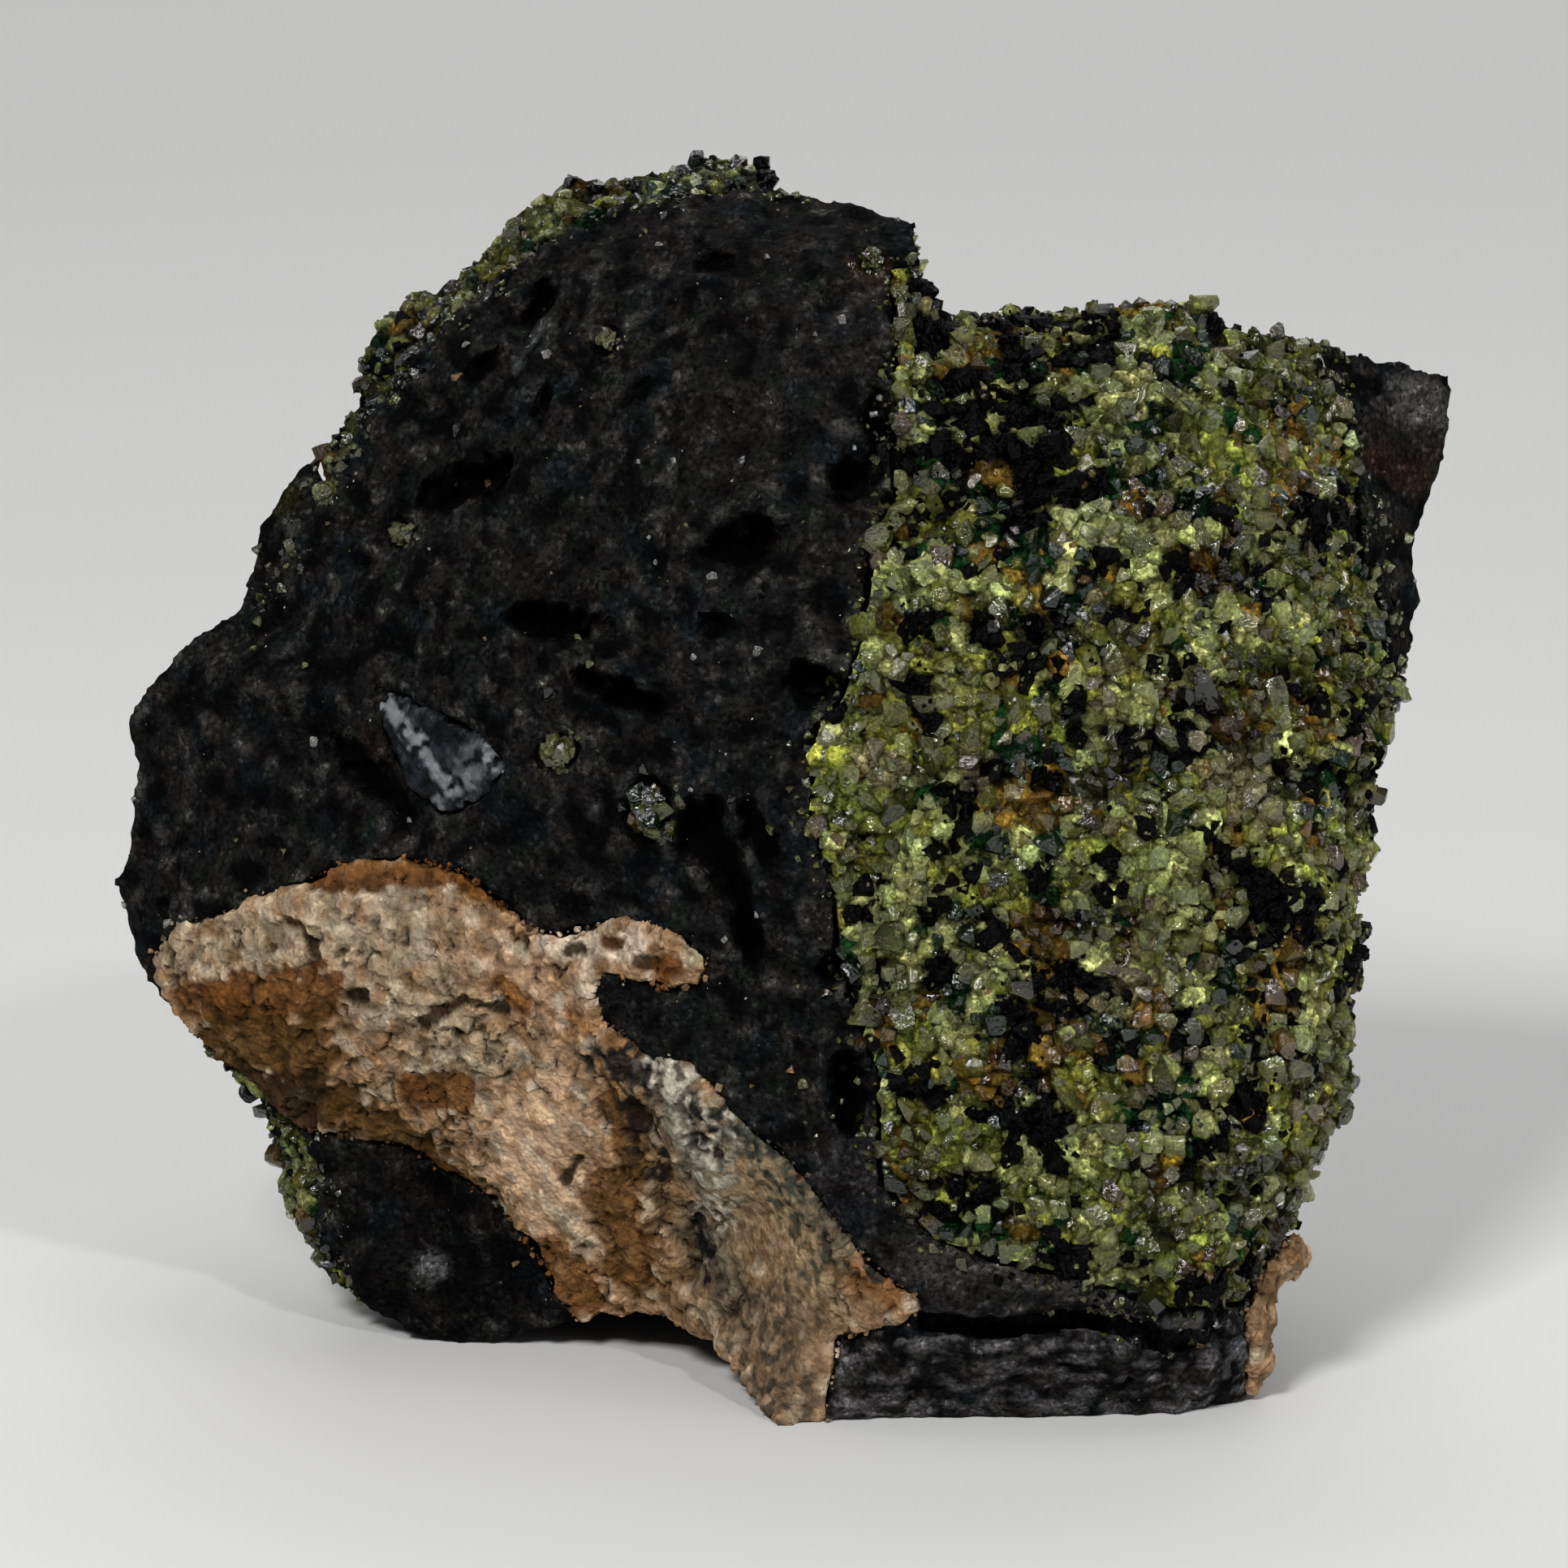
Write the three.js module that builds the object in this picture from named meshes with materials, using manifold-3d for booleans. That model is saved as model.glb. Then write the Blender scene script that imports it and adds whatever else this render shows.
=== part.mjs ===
// Granular peridot in dark vesicular basalt, with a lime crust along its lower left side.
// It is a hand specimen: two coarse peridot nodules, some loose peridot grains and a pale
// feldspar crystal are held in one lump of basalt. Millimetres, +Z up. The face with the
// large nodule looks along -Y, and the stone stands on a flat underside at Z = 0.
import * as THREE from "three";
import { ImprovedNoise } from "three/addons/math/ImprovedNoise.js";
import { mergeVertices } from "three/addons/utils/BufferGeometryUtils.js";
import Module from "manifold-3d";

const wasm = await Module();
wasm.setup();

// Driving dimensions
const GAP = 0.3; // between pieces that touch
const VIEW_DISTANCE = 500; // from the viewer to the middle of the stone
const VIEW_DOWN = THREE.MathUtils.degToRad(12); // how far the viewer looks down
const MIDDLE_HEIGHT = 39.2; // of the middle of the view above the ground
const MIDDLE_BACK = 19.8; // from the middle of the view back to the middle of the stone
const NODULE_DEPTH = -16; // how far back the front nodule reaches
const BACK_NODULE_FRONT = -20.9; // where the back nodule starts, at the middle of the view
const BACK_NODULE_LEAN = 0.045; // how much nearer it starts for each millimetre up
const CRUST_THICKNESS = 2.2;
const CRUST_END = -21; // how far back the lime crust reaches, just in front of the left rim
const EDGE_CRUST_END = -10; // and the small crust on the right edge
const FELDSPAR_DEPTH = 3;
const CRYSTAL_SINK = 0.55; // how much of its size a crystal's middle lies under the surface
const FRONT_CRYSTAL = { spacing: 5.6, smallest: 2, largest: 3.4 };
const BACK_CRYSTAL = { spacing: 8, smallest: 3, largest: 4.6 };
const ROUND_BUBBLE = 2.2; // the length from which a bubble gets finer facets
const NEAREST = 12; // where prisms along the lines of sight start, in front of everything
const FARTHEST = -70; // and where the longest of them end, behind everything
const SPREAD_TRIES = 12000; // enough to leave no bare patch

// How each kind of surface breaks: the distance between its facets' corners, the height of
// the broad waves in it and how far single corners stand out
const NODULE_GRAIN = { spacing: 2.1, wave: 0.6, jitter: 1.3 };
const BACK_GRAIN = { spacing: 3.4, wave: 0.8, jitter: 1.8 };
const CRUST_GRAIN = { spacing: 3.2, wave: 0.35, jitter: 0.3 };
const BASALT_GRAIN = { spacing: 3.3, wave: 0.9, jitter: 0.7 };
const BACK_BASALT_GRAIN = { spacing: 4.6, wave: 1, jitter: 1.4 };

// Places on the stone are [right, up, near]: millimetres to the right of the middle of the
// view, up from it, and towards the viewer.

// The rim of the stone, clockwise from its top
const RIM = [
  [-5.5, 39.3, -25], [-3, 39.2, -25], [-0.6, 38.3, -24], [0.1, 36.6, -19.5],
  [4.2, 35.8, -16.5], [8, 34.7, -14.5], [8.3, 32.5, -12.5], [9.2, 30.3, -11],
  [10.1, 29.5, -11.5], [13.4, 29.2, -12.5], [16.7, 29.3, -13.5], [21.7, 29.8, -14.5],
  [26.1, 30, -15], [27.4, 28.3, -15], [30.7, 28.1, -15.5], [33.7, 26.8, -16.5],
  [36.7, 26.3, -19], [41, 25.4, -22], [41.3, 24.3, -22], [40.8, 20.3, -21.5],
  [39.5, 16.8, -21], [38.5, 13.8, -20], [39.2, 11.3, -19.5], [38.7, 8.8, -18],
  [38, 6.5, -15], [38.3, 4.8, -11], [37, 2.3, -10], [36.7, -0.7, -9.5],
  [36.5, -4.2, -9], [35.7, -7.7, -8.5], [36.2, -10.7, -8.5], [35.4, -14.7, -8],
  [35.4, -19.2, -8], [34, -21.9, -7.5], [32.5, -24.7, -6.5], [32, -26.7, -6.5],
  [32, -29.7, -7.5], [30, -31.7, -6], [29.6, -34.2, -6], [29.9, -36.2, -7],
  [28.3, -38, -7.2], [24.2, -38.8, -4.4], [18.2, -39, -3.6], [11.7, -39.1, -3.4],
  [6.7, -39.1, -3.3], [2.2, -39.2, -2.6], [-0.2, -39.6, -1.8], [-1.3, -38.5, -3.5],
  [-2.8, -35.7, -7], [-4.8, -33.7, -11], [-8.3, -32.3, -15], [-11.3, -32.6, -16.5],
  [-13.8, -33.3, -18], [-16.3, -34, -19], [-19.8, -34.5, -20], [-23.3, -33.8, -20],
  [-26.3, -31.9, -21.5], [-28.3, -30.2, -23.5], [-29.8, -28.2, -24.5],
  [-31.1, -25.7, -25], [-31.8, -22.2, -25], [-33.2, -19.4, -22.5], [-35.5, -16.7, -21.5],
  [-37.5, -14.2, -21], [-38.8, -12.8, -21.5], [-40, -10.7, -22], [-41, -7.2, -22.5],
  [-41.2, -6, -22.5], [-40.3, -4, -22.5], [-40.4, -1.2, -22.5], [-39.8, 1.3, -22.5],
  [-40.4, 4, -22.5], [-37.8, 7.8, -22], [-33.8, 10.6, -21.5], [-32.7, 13.3, -21],
  [-32.3, 16.1, -21], [-29.3, 19.8, -20.5], [-27, 23.3, -20.5], [-26.8, 25.8, -22.5],
  [-25.3, 28.3, -23], [-22.8, 30.3, -23], [-19.3, 32.5, -23], [-16.3, 35.4, -23],
  [-13.3, 37.9, -23.5], [-9.3, 37.7, -24], [-6.7, 38.1, -24],
];

// Where the basalt thins out over the back nodule, at the upper left
const BASALT_EDGE = [
  [-25.4, 23.7, -19.2], [-22.3, 27.3, -19], [-18.3, 30.8, -18.8], [-14.3, 33.8, -18.5],
  [-10.6, 35.7, -18.2], [-5.8, 36.2, -18], [-1.6, 36.3, -17.5],
];

// The broken basalt face, row by row from the top
const BASALT_FACE = [
  [6, 33, -12], [1.7, 32.8, -11.5], [-4.3, 31.8, -11.5], [-11.3, 30.8, -13.5],
  [-18.3, 25.8, -15.5], [-23.3, 19.8, -16], [-27.3, 15.3, -17.5], [-19.8, 16.3, -12.5],
  [-13.3, 22.3, -10.5], [-5.3, 24.8, -7.8], [0.7, 26.8, -6.6], [4.8, 28.4, -7.6],
  [3.2, 23.3, -4.6], [6, 24.3, -8.5], [5.8, 18.8, -7], [3.5, 17.3, -3.2],
  [1.7, 12.8, -2], [-3.8, 16.3, -4], [-10.3, 13.8, -6.4], [-17.3, 10.3, -9.4],
  [-24.8, 9.3, -13.4], [-31.3, 7.3, -17], [-36, 3.8, -19], [-33.3, 0.3, -16.8],
  [-26.8, 3.3, -13], [-20.3, 5.3, -9.2], [-13.3, 5.3, -5.4], [-6.3, 7.8, -3],
  [-0.8, 6.8, -1.2], [0.9, 0.8, 0], [-3.3, -0.7, -0.8], [-8.3, -2.2, -2.6],
  [-15.8, -1.7, -6.2], [-23.3, -1.7, -10.2], [-30.8, -3.7, -14.6], [-37, -4.7, -18.6],
  [-10.3, -6.7, -4], [-5.3, -9.7, -2], [-0.8, -7.2, -0.2], [1.7, -12.7, 0.4],
  [-5.3, -13.9, -2], [-0.8, -17.2, -0.4], [3.7, -16.2, 0.8], [4.2, -22.7, 1.1],
  [6.5, -27.2, 1.5], [9.7, -30.3, 1.4],
];

// The brow that the crust hangs from, from the left end to its lowest tip
const BROW = [
  [-38.3, -11.3, -18.6], [-35.2, -8.3, -16.2], [-31.3, -6.9, -13.8], [-26.8, -5, -11.3],
  [-21.8, -4.7, -9.5], [-18.1, -6.6, -7.6], [-14.9, -9.2, -6.2], [-11.8, -12.5, -4.8],
  [-10.1, -15.8, -4], [-5.7, -17.4, -2.2], [-3, -20.1, -1.2], [0.1, -23.2, -0.3],
  [2.7, -26.6, 0.4], [5.3, -29.6, 1], [8.2, -32, 1.9],
];

// The crust's face, with its smooth bulge, and the edge where it ends over the dark lump
const CRUST_FACE = [
  [-36, -12.4, -17.2], [-31.8, -11.2, -13.6], [-32.8, -16.2, -18.4],
  [-26.3, -10.7, -10.6], [-26.8, -16.7, -15.2], [-20.3, -10.7, -8.8],
  [-20.8, -16.7, -11.5], [-15.8, -13.7, -7.6], [-13.8, -17.7, -8.2], [-16.3, -21.2, -12],
  [-10.3, -20.7, -7.6], [-11.3, -25.2, -11.5], [-8.3, -28.7, -12.5], [-6.8, -23.2, -6.8],
  [-4.5, -26.7, -9.4], [-3.8, -31.2, -10], [-3, -23.7, -3.2], [-0.8, -28.7, -4.4],
  [0.9, -26.2, -1.6], [2.7, -30.2, -0.6], [0.5, -33.2, -2.4], [1.7, -36.2, -1.8],
  [6, -31.9, 0.6], [-29.8, -20.1, -18.6], [-24.3, -21.3, -17.2], [-20.1, -23.5, -16.4],
  [-17.1, -25.7, -16], [-15.1, -28.3, -15.8], [-13.3, -31.2, -16],
];

// The dark lump of basalt under the crust
const DARK_LUMP = [
  [-29.4, -21.7, -20.4], [-24.8, -22.7, -20.6], [-20.9, -24.7, -20],
  [-18.1, -26.8, -19.6], [-16.3, -29.7, -19.2], [-30.7, -22.7, -20.6],
  [-29.1, -26.7, -19.6], [-27.1, -30, -19.5], [-24.3, -26.7, -18.6], [-21.3, -31.2, -18],
];

// The shelf under the front nodule and the lower band of basalt that it overhangs
const LOWER_BAND = [
  [14.7, -31.7, 1.3], [19.7, -32, 1], [24.7, -33.1, 0.3], [28.9, -32.2, -2.4],
  [3.5, -34.3, -1.6], [9.2, -34.1, -1], [16.7, -34, -0.9], [23.7, -34.5, -1.2],
  [28.7, -34.5, -3.6], [6.7, -37, -0.9], [14.7, -37, -0.5], [21.7, -37, -0.9],
  [27.2, -36.7, -3],
];

// The front nodule's rounded face, row by row from the top
const NODULE_FACE = [
  [10.4, 27.8, -9.6], [16.7, 27.3, -10.6], [25.7, 27.8, -12], [31.7, 26.3, -13.5],
  [8, 23.3, -6.4], [14.7, 22.3, -6.6], [23.2, 22.8, -8], [31.7, 21.3, -10.6],
  [7.5, 17.3, -3.8], [16.7, 16.3, -3.4], [25.7, 15.8, -4.6], [33.7, 15.8, -9.2],
  [6.5, 11.3, -1.6], [13.7, 9.8, -0.8], [23.2, 9.3, -1.8], [31.7, 8.8, -5],
  [36.2, 8.3, -9], [4.7, 4.3, 0], [10.7, 3.3, 0.8], [18.7, 3.3, 0.4], [27.7, 2.8, -2],
  [34.7, 1.8, -6], [2.7, -1.2, 0.8], [7.7, -2.7, 1.5], [15.7, -3.7, 1.6],
  [23.7, -3.2, 0.6], [31.7, -4.7, -2.6], [3.7, -7.7, 1.4], [10.7, -10.7, 2.2],
  [19.7, -10.2, 2], [27.7, -11.2, 0.2], [33.2, -11.7, -3.2], [6.2, -16.2, 1.9],
  [14.2, -17.7, 2.8], [23.2, -17.7, 2.2], [31.2, -18.2, -1.2], [6.5, -23.2, 2],
  [11.7, -24.2, 2.8], [20.2, -24.7, 2.6], [28.2, -24.2, 0.4], [10.7, -28.2, 2],
  [17.7, -29.7, 2], [24.2, -30.7, 1.2], [29.7, -28.7, -2.2],
];

// The wedge of basalt behind the nodule's upper right side
const BASALT_WEDGE = [
  [35.1, 23.3, -17], [38.7, 22.3, -20], [36.2, 17.8, -17], [37, 11.8, -15.5],
  [37.8, 16.3, -18.5],
];

// The far side, row by row from the top, and the underside before it is cut flat
const FAR_SIDE = [
  [-3.3, 35, -34], [-13.3, 32.3, -36], [-21.1, 26.8, -36], [5.2, 31.6, -29],
  [14.2, 26.3, -33], [24.2, 26.8, -30], [32.7, 24.3, -29], [37.7, 21.3, -30],
  [-27.3, 16.3, -35], [-34.3, 4.3, -33], [-17.3, 17.3, -44], [-5.3, 24.3, -42],
  [5.7, 20.3, -41.5], [17.7, 17.3, -41], [28.7, 16.3, -37], [35.7, 12.3, -30],
  [-7.3, 7.3, -47], [5.7, 5.8, -46], [17.7, 4.3, -44], [28.7, 2.3, -37],
  [34.7, 1.3, -24], [-26.3, 3.3, -42], [-36.8, -5.7, -31], [-16.3, -4.7, -48],
  [-1.3, -6.7, -47.5], [13.7, -9.2, -45], [25.7, -10.7, -38], [32.7, -10.7, -25],
  [-29.3, -13.7, -40], [-18.3, -16.7, -46], [-3.3, -19.2, -47], [11.7, -21.7, -45],
  [23.2, -21.7, -37], [30.2, -21.7, -24], [-27.3, -22.7, -37], [-20.3, -26.7, -38],
];
const UNDERSIDE = [
  [6.7, -38.5, -8], [16.7, -38.5, -8], [25.2, -37.8, -10.5], [1.7, -36.7, -14.5],
  [14.2, -36.5, -15], [26.7, -36.2, -16], [-3.3, -34.6, -22], [9.2, -34.6, -22],
  [21.7, -34.6, -22], [28.2, -33.7, -21], [-18.8, -33.7, -25.5], [-12.3, -31.9, -29],
  [-6.8, -31.2, -31], [-0.8, -32.5, -30], [11.7, -32.5, -30], [23.7, -32.3, -30.5],
  [-18.3, -30.4, -38], [-5.8, -30.3, -38], [6.7, -30.4, -38], [19.2, -30.4, -38],
  [-10.8, -29.1, -43], [1.7, -29.1, -43], [11.7, -29.1, -43],
];

// Outlines seen by the viewer are [right, up], clockwise. Where a piece reaches the rim of
// the stone, its outline runs outside the rim.
const NODULE_OUTLINE = [
  [6.7, 31.5], [12, 32], [32, 32], [34.2, 27.5], [34.5, 24.3], [35, 20.3], [35.3, 13.8],
  [36.6, 10.8], [36.8, 6.8], [42, 4], [42, -20], [38, -24], [33.6, -26.2],
  [31, -27.6], [29, -29.7], [28.2, -31.8], [24.2, -32.3], [18.7, -30.5], [13.2, -29.1],
  [9.7, -28.2], [7.2, -25.7], [6, -23.7], [6, -18.2], [4.7, -14.2], [3.5, -10.7],
  [3.1, -5.7], [1.9, -1.7], [2.1, 3.3], [3.7, 5.3], [5, 9.3], [5.7, 14.3], [7.1, 17.3],
  [6.9, 20.3], [7.2, 24.8],
];
const BACK_NODULE_OUTLINE = [
  [-30, 24.8], [-30, 42], [1.5, 42], [1.5, 35], [6.7, 23.3], [14.2, 8.3], [11.7, -6.7],
  [1.7, -19.2], [-13.3, -26.7], [-22, -26.7], [-26.5, -31], [-30, -36], [-40, -30],
  [-34.8, -19.4], [-35.3, -9.2], [-33.3, 5.8], [-27.4, 16],
];
const CRUST_OUTLINE = [
  [-38.6, -10.7], [-36.6, -8.9], [-31.8, -7.2], [-27.3, -5.3], [-23.3, -4.8],
  [-19.8, -5.7], [-17.8, -7.2], [-15.8, -9.2], [-13.8, -9.5], [-9.8, -8.5],
  [-6.3, -9.5], [-5, -10.7], [-5.3, -12.2], [-6.8, -12.5], [-8.8, -11.7],
  [-11.3, -11.5], [-12.1, -13], [-11.3, -14.7], [-8.8, -16.7], [-5.8, -17.2],
  [-4.3, -19.2], [-1.8, -21.7], [0.7, -23.7], [2.7, -26.7], [5.2, -29.7], [8.2, -32],
  [7.2, -32.8], [3.2, -34], [2.7, -36.7], [1.7, -42], [-5, -42], [-8, -36],
  [-12.3, -32.7], [-13.8, -31.2], [-15.3, -28.2], [-17.3, -25.7], [-20.3, -23.7],
  [-24.3, -21.7], [-28.3, -21.2], [-31.3, -20.7], [-34, -20.5], [-42, -14],
  [-42, -11.5],
];
const EDGE_CRUST_OUTLINE = [
  [34.4, -26.9], [36.5, -26.9], [36.5, -37.4], [28.6, -37.2], [28.9, -34.5],
  [28.7, -32.6], [29.6, -30.2], [31.4, -28.2],
];
const FELDSPAR_OUTLINE = [
  [-25.2, 6.2], [-21.8, 4.2], [-19, 3], [-17.3, 1], [-18.8, -0.8], [-21, -1.6],
  [-23, 0.2], [-24.2, 2.8],
];
const LEDGE_OUTLINE = [
  [8.1, -32.4], [13.2, -32.8], [19.2, -32.1], [24.2, -33.6], [28.4, -33], [28.4, -34.1],
  [23.7, -35.1], [18.7, -33.7], [12.7, -34.3], [8, -33.7],
];
const CRACK_OUTLINE = [
  [10.7, -35.2], [11.2, -35.2], [11.5, -40], [10.3, -40],
];

// Gas bubbles in the basalt: where, half length, half width, and how they turn in degrees
const BUBBLES = [
  { at: [-19.3, 18.7], long: 3.3, wide: 1.2, turn: 20 },
  { at: [-2.3, 15.2], long: 2.6, wide: 1.4, turn: 17 },
  { at: [-14.5, 10.2], long: 3.1, wide: 1.2, turn: -10 },
  { at: [-10.5, 5.8], long: 2.5, wide: 0.9, turn: -20 },
  { at: [-1.8, -2.7], long: 2, wide: 0.8, turn: -62 },
  { at: [-5.2, -2.8], long: 1.9, wide: 1.7, turn: -50 },
  { at: [-3.7, -5.2], long: 2.8, wide: 1.2, turn: -60 },
  { at: [-2.2, -9.2], long: 2.4, wide: 0.8, turn: -75 },
  { at: [3.9, -19.3], long: 2.7, wide: 1.1, turn: 88 },
  { at: [1.9, 6.4], long: 1.6, wide: 1.4, turn: 0 },
  { at: [-15.1, 29.7], long: 1.7, wide: 0.7, turn: 62 },
  { at: [-18.3, 25.9], long: 1.4, wide: 0.7, turn: 42 },
  { at: [-4.3, 32.1], long: 1, wide: 0.8, turn: 12 },
  { at: [-14.8, 23.5], long: 1.4, wide: 0.7, turn: 80 },
  { at: [-9, 24], long: 1.3, wide: 0.7, turn: 40 },
  { at: [3, -11.4], long: 1, wide: 0.8, turn: 30 },
  { at: [-4.3, 9.8], long: 1, wide: 0.7, turn: 10 },
  { at: [5.8, 21.6], long: 4, wide: 0.9, turn: 88 },
  { at: [4, 18.6], long: 1.9, wide: 1.2, turn: 0 },
  { at: [-25.6, 0.6], long: 4.4, wide: 1, turn: -39 },
];

// Loose peridot grains in the basalt, given as the bubbles are
const GRAINS = [
  { at: [-8.6, -1.5], long: 2.4, wide: 1.6, turn: 84 },
  { at: [-14.1, 2], long: 1.5, wide: 1.1, turn: 12 },
  { at: [-23.8, 15.6], long: 1.1, wide: 0.9, turn: 30 },
  { at: [-11, 27.5], long: 1, wide: 0.8, turn: 60 },
  { at: [-28.5, 18.1], long: 1, wide: 0.8, turn: 20 },
  { at: [5.4, 32.6], long: 1.1, wide: 0.9, turn: 0 },
];

/** A repeatable stream of random numbers from 0 to 1. */
function randomStream(seed) {
  let state = seed;
  return () => {
    state = (state + 0x6d2b79f5) | 0;
    let mixed = Math.imul(state ^ (state >>> 15), 1 | state);
    mixed = (mixed + Math.imul(mixed ^ (mixed >>> 7), 61 | mixed)) ^ mixed;
    return ((mixed ^ (mixed >>> 14)) >>> 0) / 4294967296;
  };
}

/** Turns a place seen by the viewer into the stone's own frame. */
function placeSeen(point) {
  const reach = (VIEW_DISTANCE - point.z) / VIEW_DISTANCE;
  const right = point.x * reach;
  const up = point.y * reach;
  const { z: near } = point;
  return point.set(
    right,
    up * Math.sin(VIEW_DOWN) - near * Math.cos(VIEW_DOWN) - MIDDLE_BACK,
    up * Math.cos(VIEW_DOWN) + near * Math.sin(VIEW_DOWN) + MIDDLE_HEIGHT,
  );
}

/** Moves every vertex of a geometry from the viewer's frame to the stone's. */
function placeGeometry(geometry) {
  const positions = geometry.getAttribute("position");
  const point = new THREE.Vector3();
  for (let i = 0; i < positions.count; i += 1) {
    placeSeen(point.fromBufferAttribute(positions, i));
    positions.setXYZ(i, point.x, point.y, point.z);
  }
  return geometry;
}

/** Leaves only positions on a geometry, with the vertices of one place merged. */
function weld(geometry) {
  const bare = new THREE.BufferGeometry();
  const source = geometry.index ? geometry.toNonIndexed() : geometry;
  bare.setAttribute("position", source.getAttribute("position"));
  return mergeVertices(bare, 1e-4);
}

/** Makes a solid from a closed geometry. */
function toSolid(geometry) {
  const welded = weld(geometry);
  return new wasm.Manifold(
    new wasm.Mesh({
      numProp: 3,
      vertProperties: new Float32Array(welded.getAttribute("position").array),
      triVerts: new Uint32Array(welded.index.array),
    }),
  );
}

/** The largest single body of a solid, without the chips that a cut leaves loose. */
function largestBody(solid) {
  return solid
    .decompose()
    .reduce((best, body) => (body.volume() > best.volume() ? body : best));
}

/** A named mesh of a solid. */
function toMesh(name, solid, material) {
  const { numProp, vertProperties, triVerts } = solid.getMesh();
  const positions = new Float32Array((vertProperties.length / numProp) * 3);
  for (let i = 0; i < positions.length / 3; i += 1) {
    positions.set(vertProperties.subarray(i * numProp, i * numProp + 3), i * 3);
  }
  const geometry = new THREE.BufferGeometry();
  geometry.setAttribute("position", new THREE.BufferAttribute(positions, 3));
  geometry.setIndex(new THREE.BufferAttribute(new Uint32Array(triVerts), 1));
  geometry.computeVertexNormals();
  const mesh = new THREE.Mesh(geometry, material);
  mesh.name = name;
  return mesh;
}

/** Twice the signed area of a triangle seen by the viewer. */
function turnOf(a, b, c) {
  return (b[0] - a[0]) * (c[1] - a[1]) - (b[1] - a[1]) * (c[0] - a[0]);
}

/** Whether a point lies in the circle through three others, given anticlockwise. */
function inCircle(a, b, c, point) {
  const rows = [a, b, c].map((corner) => {
    const dx = corner[0] - point[0];
    const dy = corner[1] - point[1];
    return [dx, dy, dx * dx + dy * dy];
  });
  const [p, q, r] = rows;
  return (
    p[0] * (q[1] * r[2] - q[2] * r[1]) -
      p[1] * (q[0] * r[2] - q[2] * r[0]) +
      p[2] * (q[0] * r[1] - q[1] * r[0]) >
    1e-9
  );
}

/**
 * A surface hung on a closed rim and on the points inside it, in even triangles.
 * The rim's own edges stay, so two such surfaces with one rim close a body.
 */
class DrapedSurface {
  constructor(rim, inner) {
    this.points = [...rim];
    this.triangles = [];
    this.owners = new Map(); // the triangle on the left of each edge
    const flat = rim.map(([right, up]) => new THREE.Vector2(right, up));
    for (const [a, b, c] of THREE.ShapeUtils.triangulateShape(flat, [])) {
      const turned = turnOf(rim[a], rim[b], rim[c]) < 0;
      this.setTriangle(this.triangles.length, turned ? [a, c, b] : [a, b, c]);
    }
    this.evenOut([...this.owners.keys()]);
    inner.forEach((point) => this.insert(point));
  }

  setTriangle(place, corners) {
    this.triangles[place] = corners;
    corners.forEach((from, k) => this.owners.set(`${from} ${corners[(k + 1) % 3]}`, place));
  }

  /** The triangle that holds a place, or -1 outside the rim. */
  find(place) {
    return this.triangles.findIndex((corners) => {
      const [p, q, r] = corners.map((corner) => this.points[corner]);
      return (
        turnOf(p, q, place) >= 0 && turnOf(q, r, place) >= 0 && turnOf(r, p, place) >= 0
      );
    });
  }

  insert(point) {
    const holder = this.find(point);
    if (holder < 0) {
      throw new Error(`a surface point lies outside the rim: ${point}`);
    }
    const [a, b, c] = this.triangles[holder];
    const added = this.points.push(point) - 1;
    this.setTriangle(holder, [a, b, added]);
    this.setTriangle(this.triangles.length, [b, c, added]);
    this.setTriangle(this.triangles.length, [c, a, added]);
    this.evenOut([`${a} ${b}`, `${b} ${c}`, `${c} ${a}`]);
  }

  /** Flips edges until no corner lies in the circle round its neighbour. */
  evenOut(edges) {
    while (edges.length > 0) {
      const [from, to] = edges.pop().split(" ").map(Number);
      const own = this.owners.get(`${from} ${to}`);
      const twin = this.owners.get(`${to} ${from}`);
      if (own !== undefined && twin !== undefined) {
        edges.push(...this.flip(from, to, own, twin));
      }
    }
  }

  /** Flips one edge where its triangles call for it, and gives the edges round them. */
  flip(from, to, own, twin) {
    const { points } = this;
    const isThird = (corner) => corner !== from && corner !== to;
    const left = this.triangles[own].find(isThird);
    const right = this.triangles[twin].find(isThird);
    if (!inCircle(points[from], points[to], points[left], points[right])) {
      return [];
    }
    this.owners.delete(`${from} ${to}`);
    this.owners.delete(`${to} ${from}`);
    this.setTriangle(own, [left, from, right]);
    this.setTriangle(twin, [right, to, left]);
    return [`${left} ${from}`, `${from} ${right}`, `${right} ${to}`, `${to} ${left}`];
  }

  /** How near the surface lies at a place seen by the viewer, or null outside the rim. */
  nearAt(right, up) {
    const holder = this.find([right, up]);
    if (holder < 0) {
      return null;
    }
    const [p, q, r] = this.triangles[holder].map((corner) => this.points[corner]);
    const whole = turnOf(p, q, r);
    const weightP = turnOf(q, r, [right, up]) / whole;
    const weightQ = turnOf(r, p, [right, up]) / whole;
    return p[2] * weightP + q[2] * weightQ + r[2] * (1 - weightP - weightQ);
  }
}

/** Whether an outline seen by the viewer goes round a place. */
function isInside(outline, right, up) {
  return outline.reduce((inside, [x2, y2], i) => {
    const [x1, y1] = outline.at(i - 1);
    const crosses = y1 > up !== y2 > up && right < ((x2 - x1) * (up - y1)) / (y2 - y1) + x1;
    return crosses ? !inside : inside;
  }, false);
}

/** A clockwise outline with every side moved outwards. */
function grown(outline, distance) {
  return outline.map(([x, y], i) => {
    const [beforeX, beforeY] = outline.at(i - 1);
    const [afterX, afterY] = outline[(i + 1) % outline.length];
    const into = new THREE.Vector2(x - beforeX, y - beforeY).normalize();
    const out = new THREE.Vector2(afterX - x, afterY - y).normalize();
    const side = new THREE.Vector2(-into.y - out.y, into.x + out.x);
    const stretch = distance / Math.max(0.4, side.length() / 2);
    side.setLength(stretch);
    return [x + side.x, y + side.y];
  });
}

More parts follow.
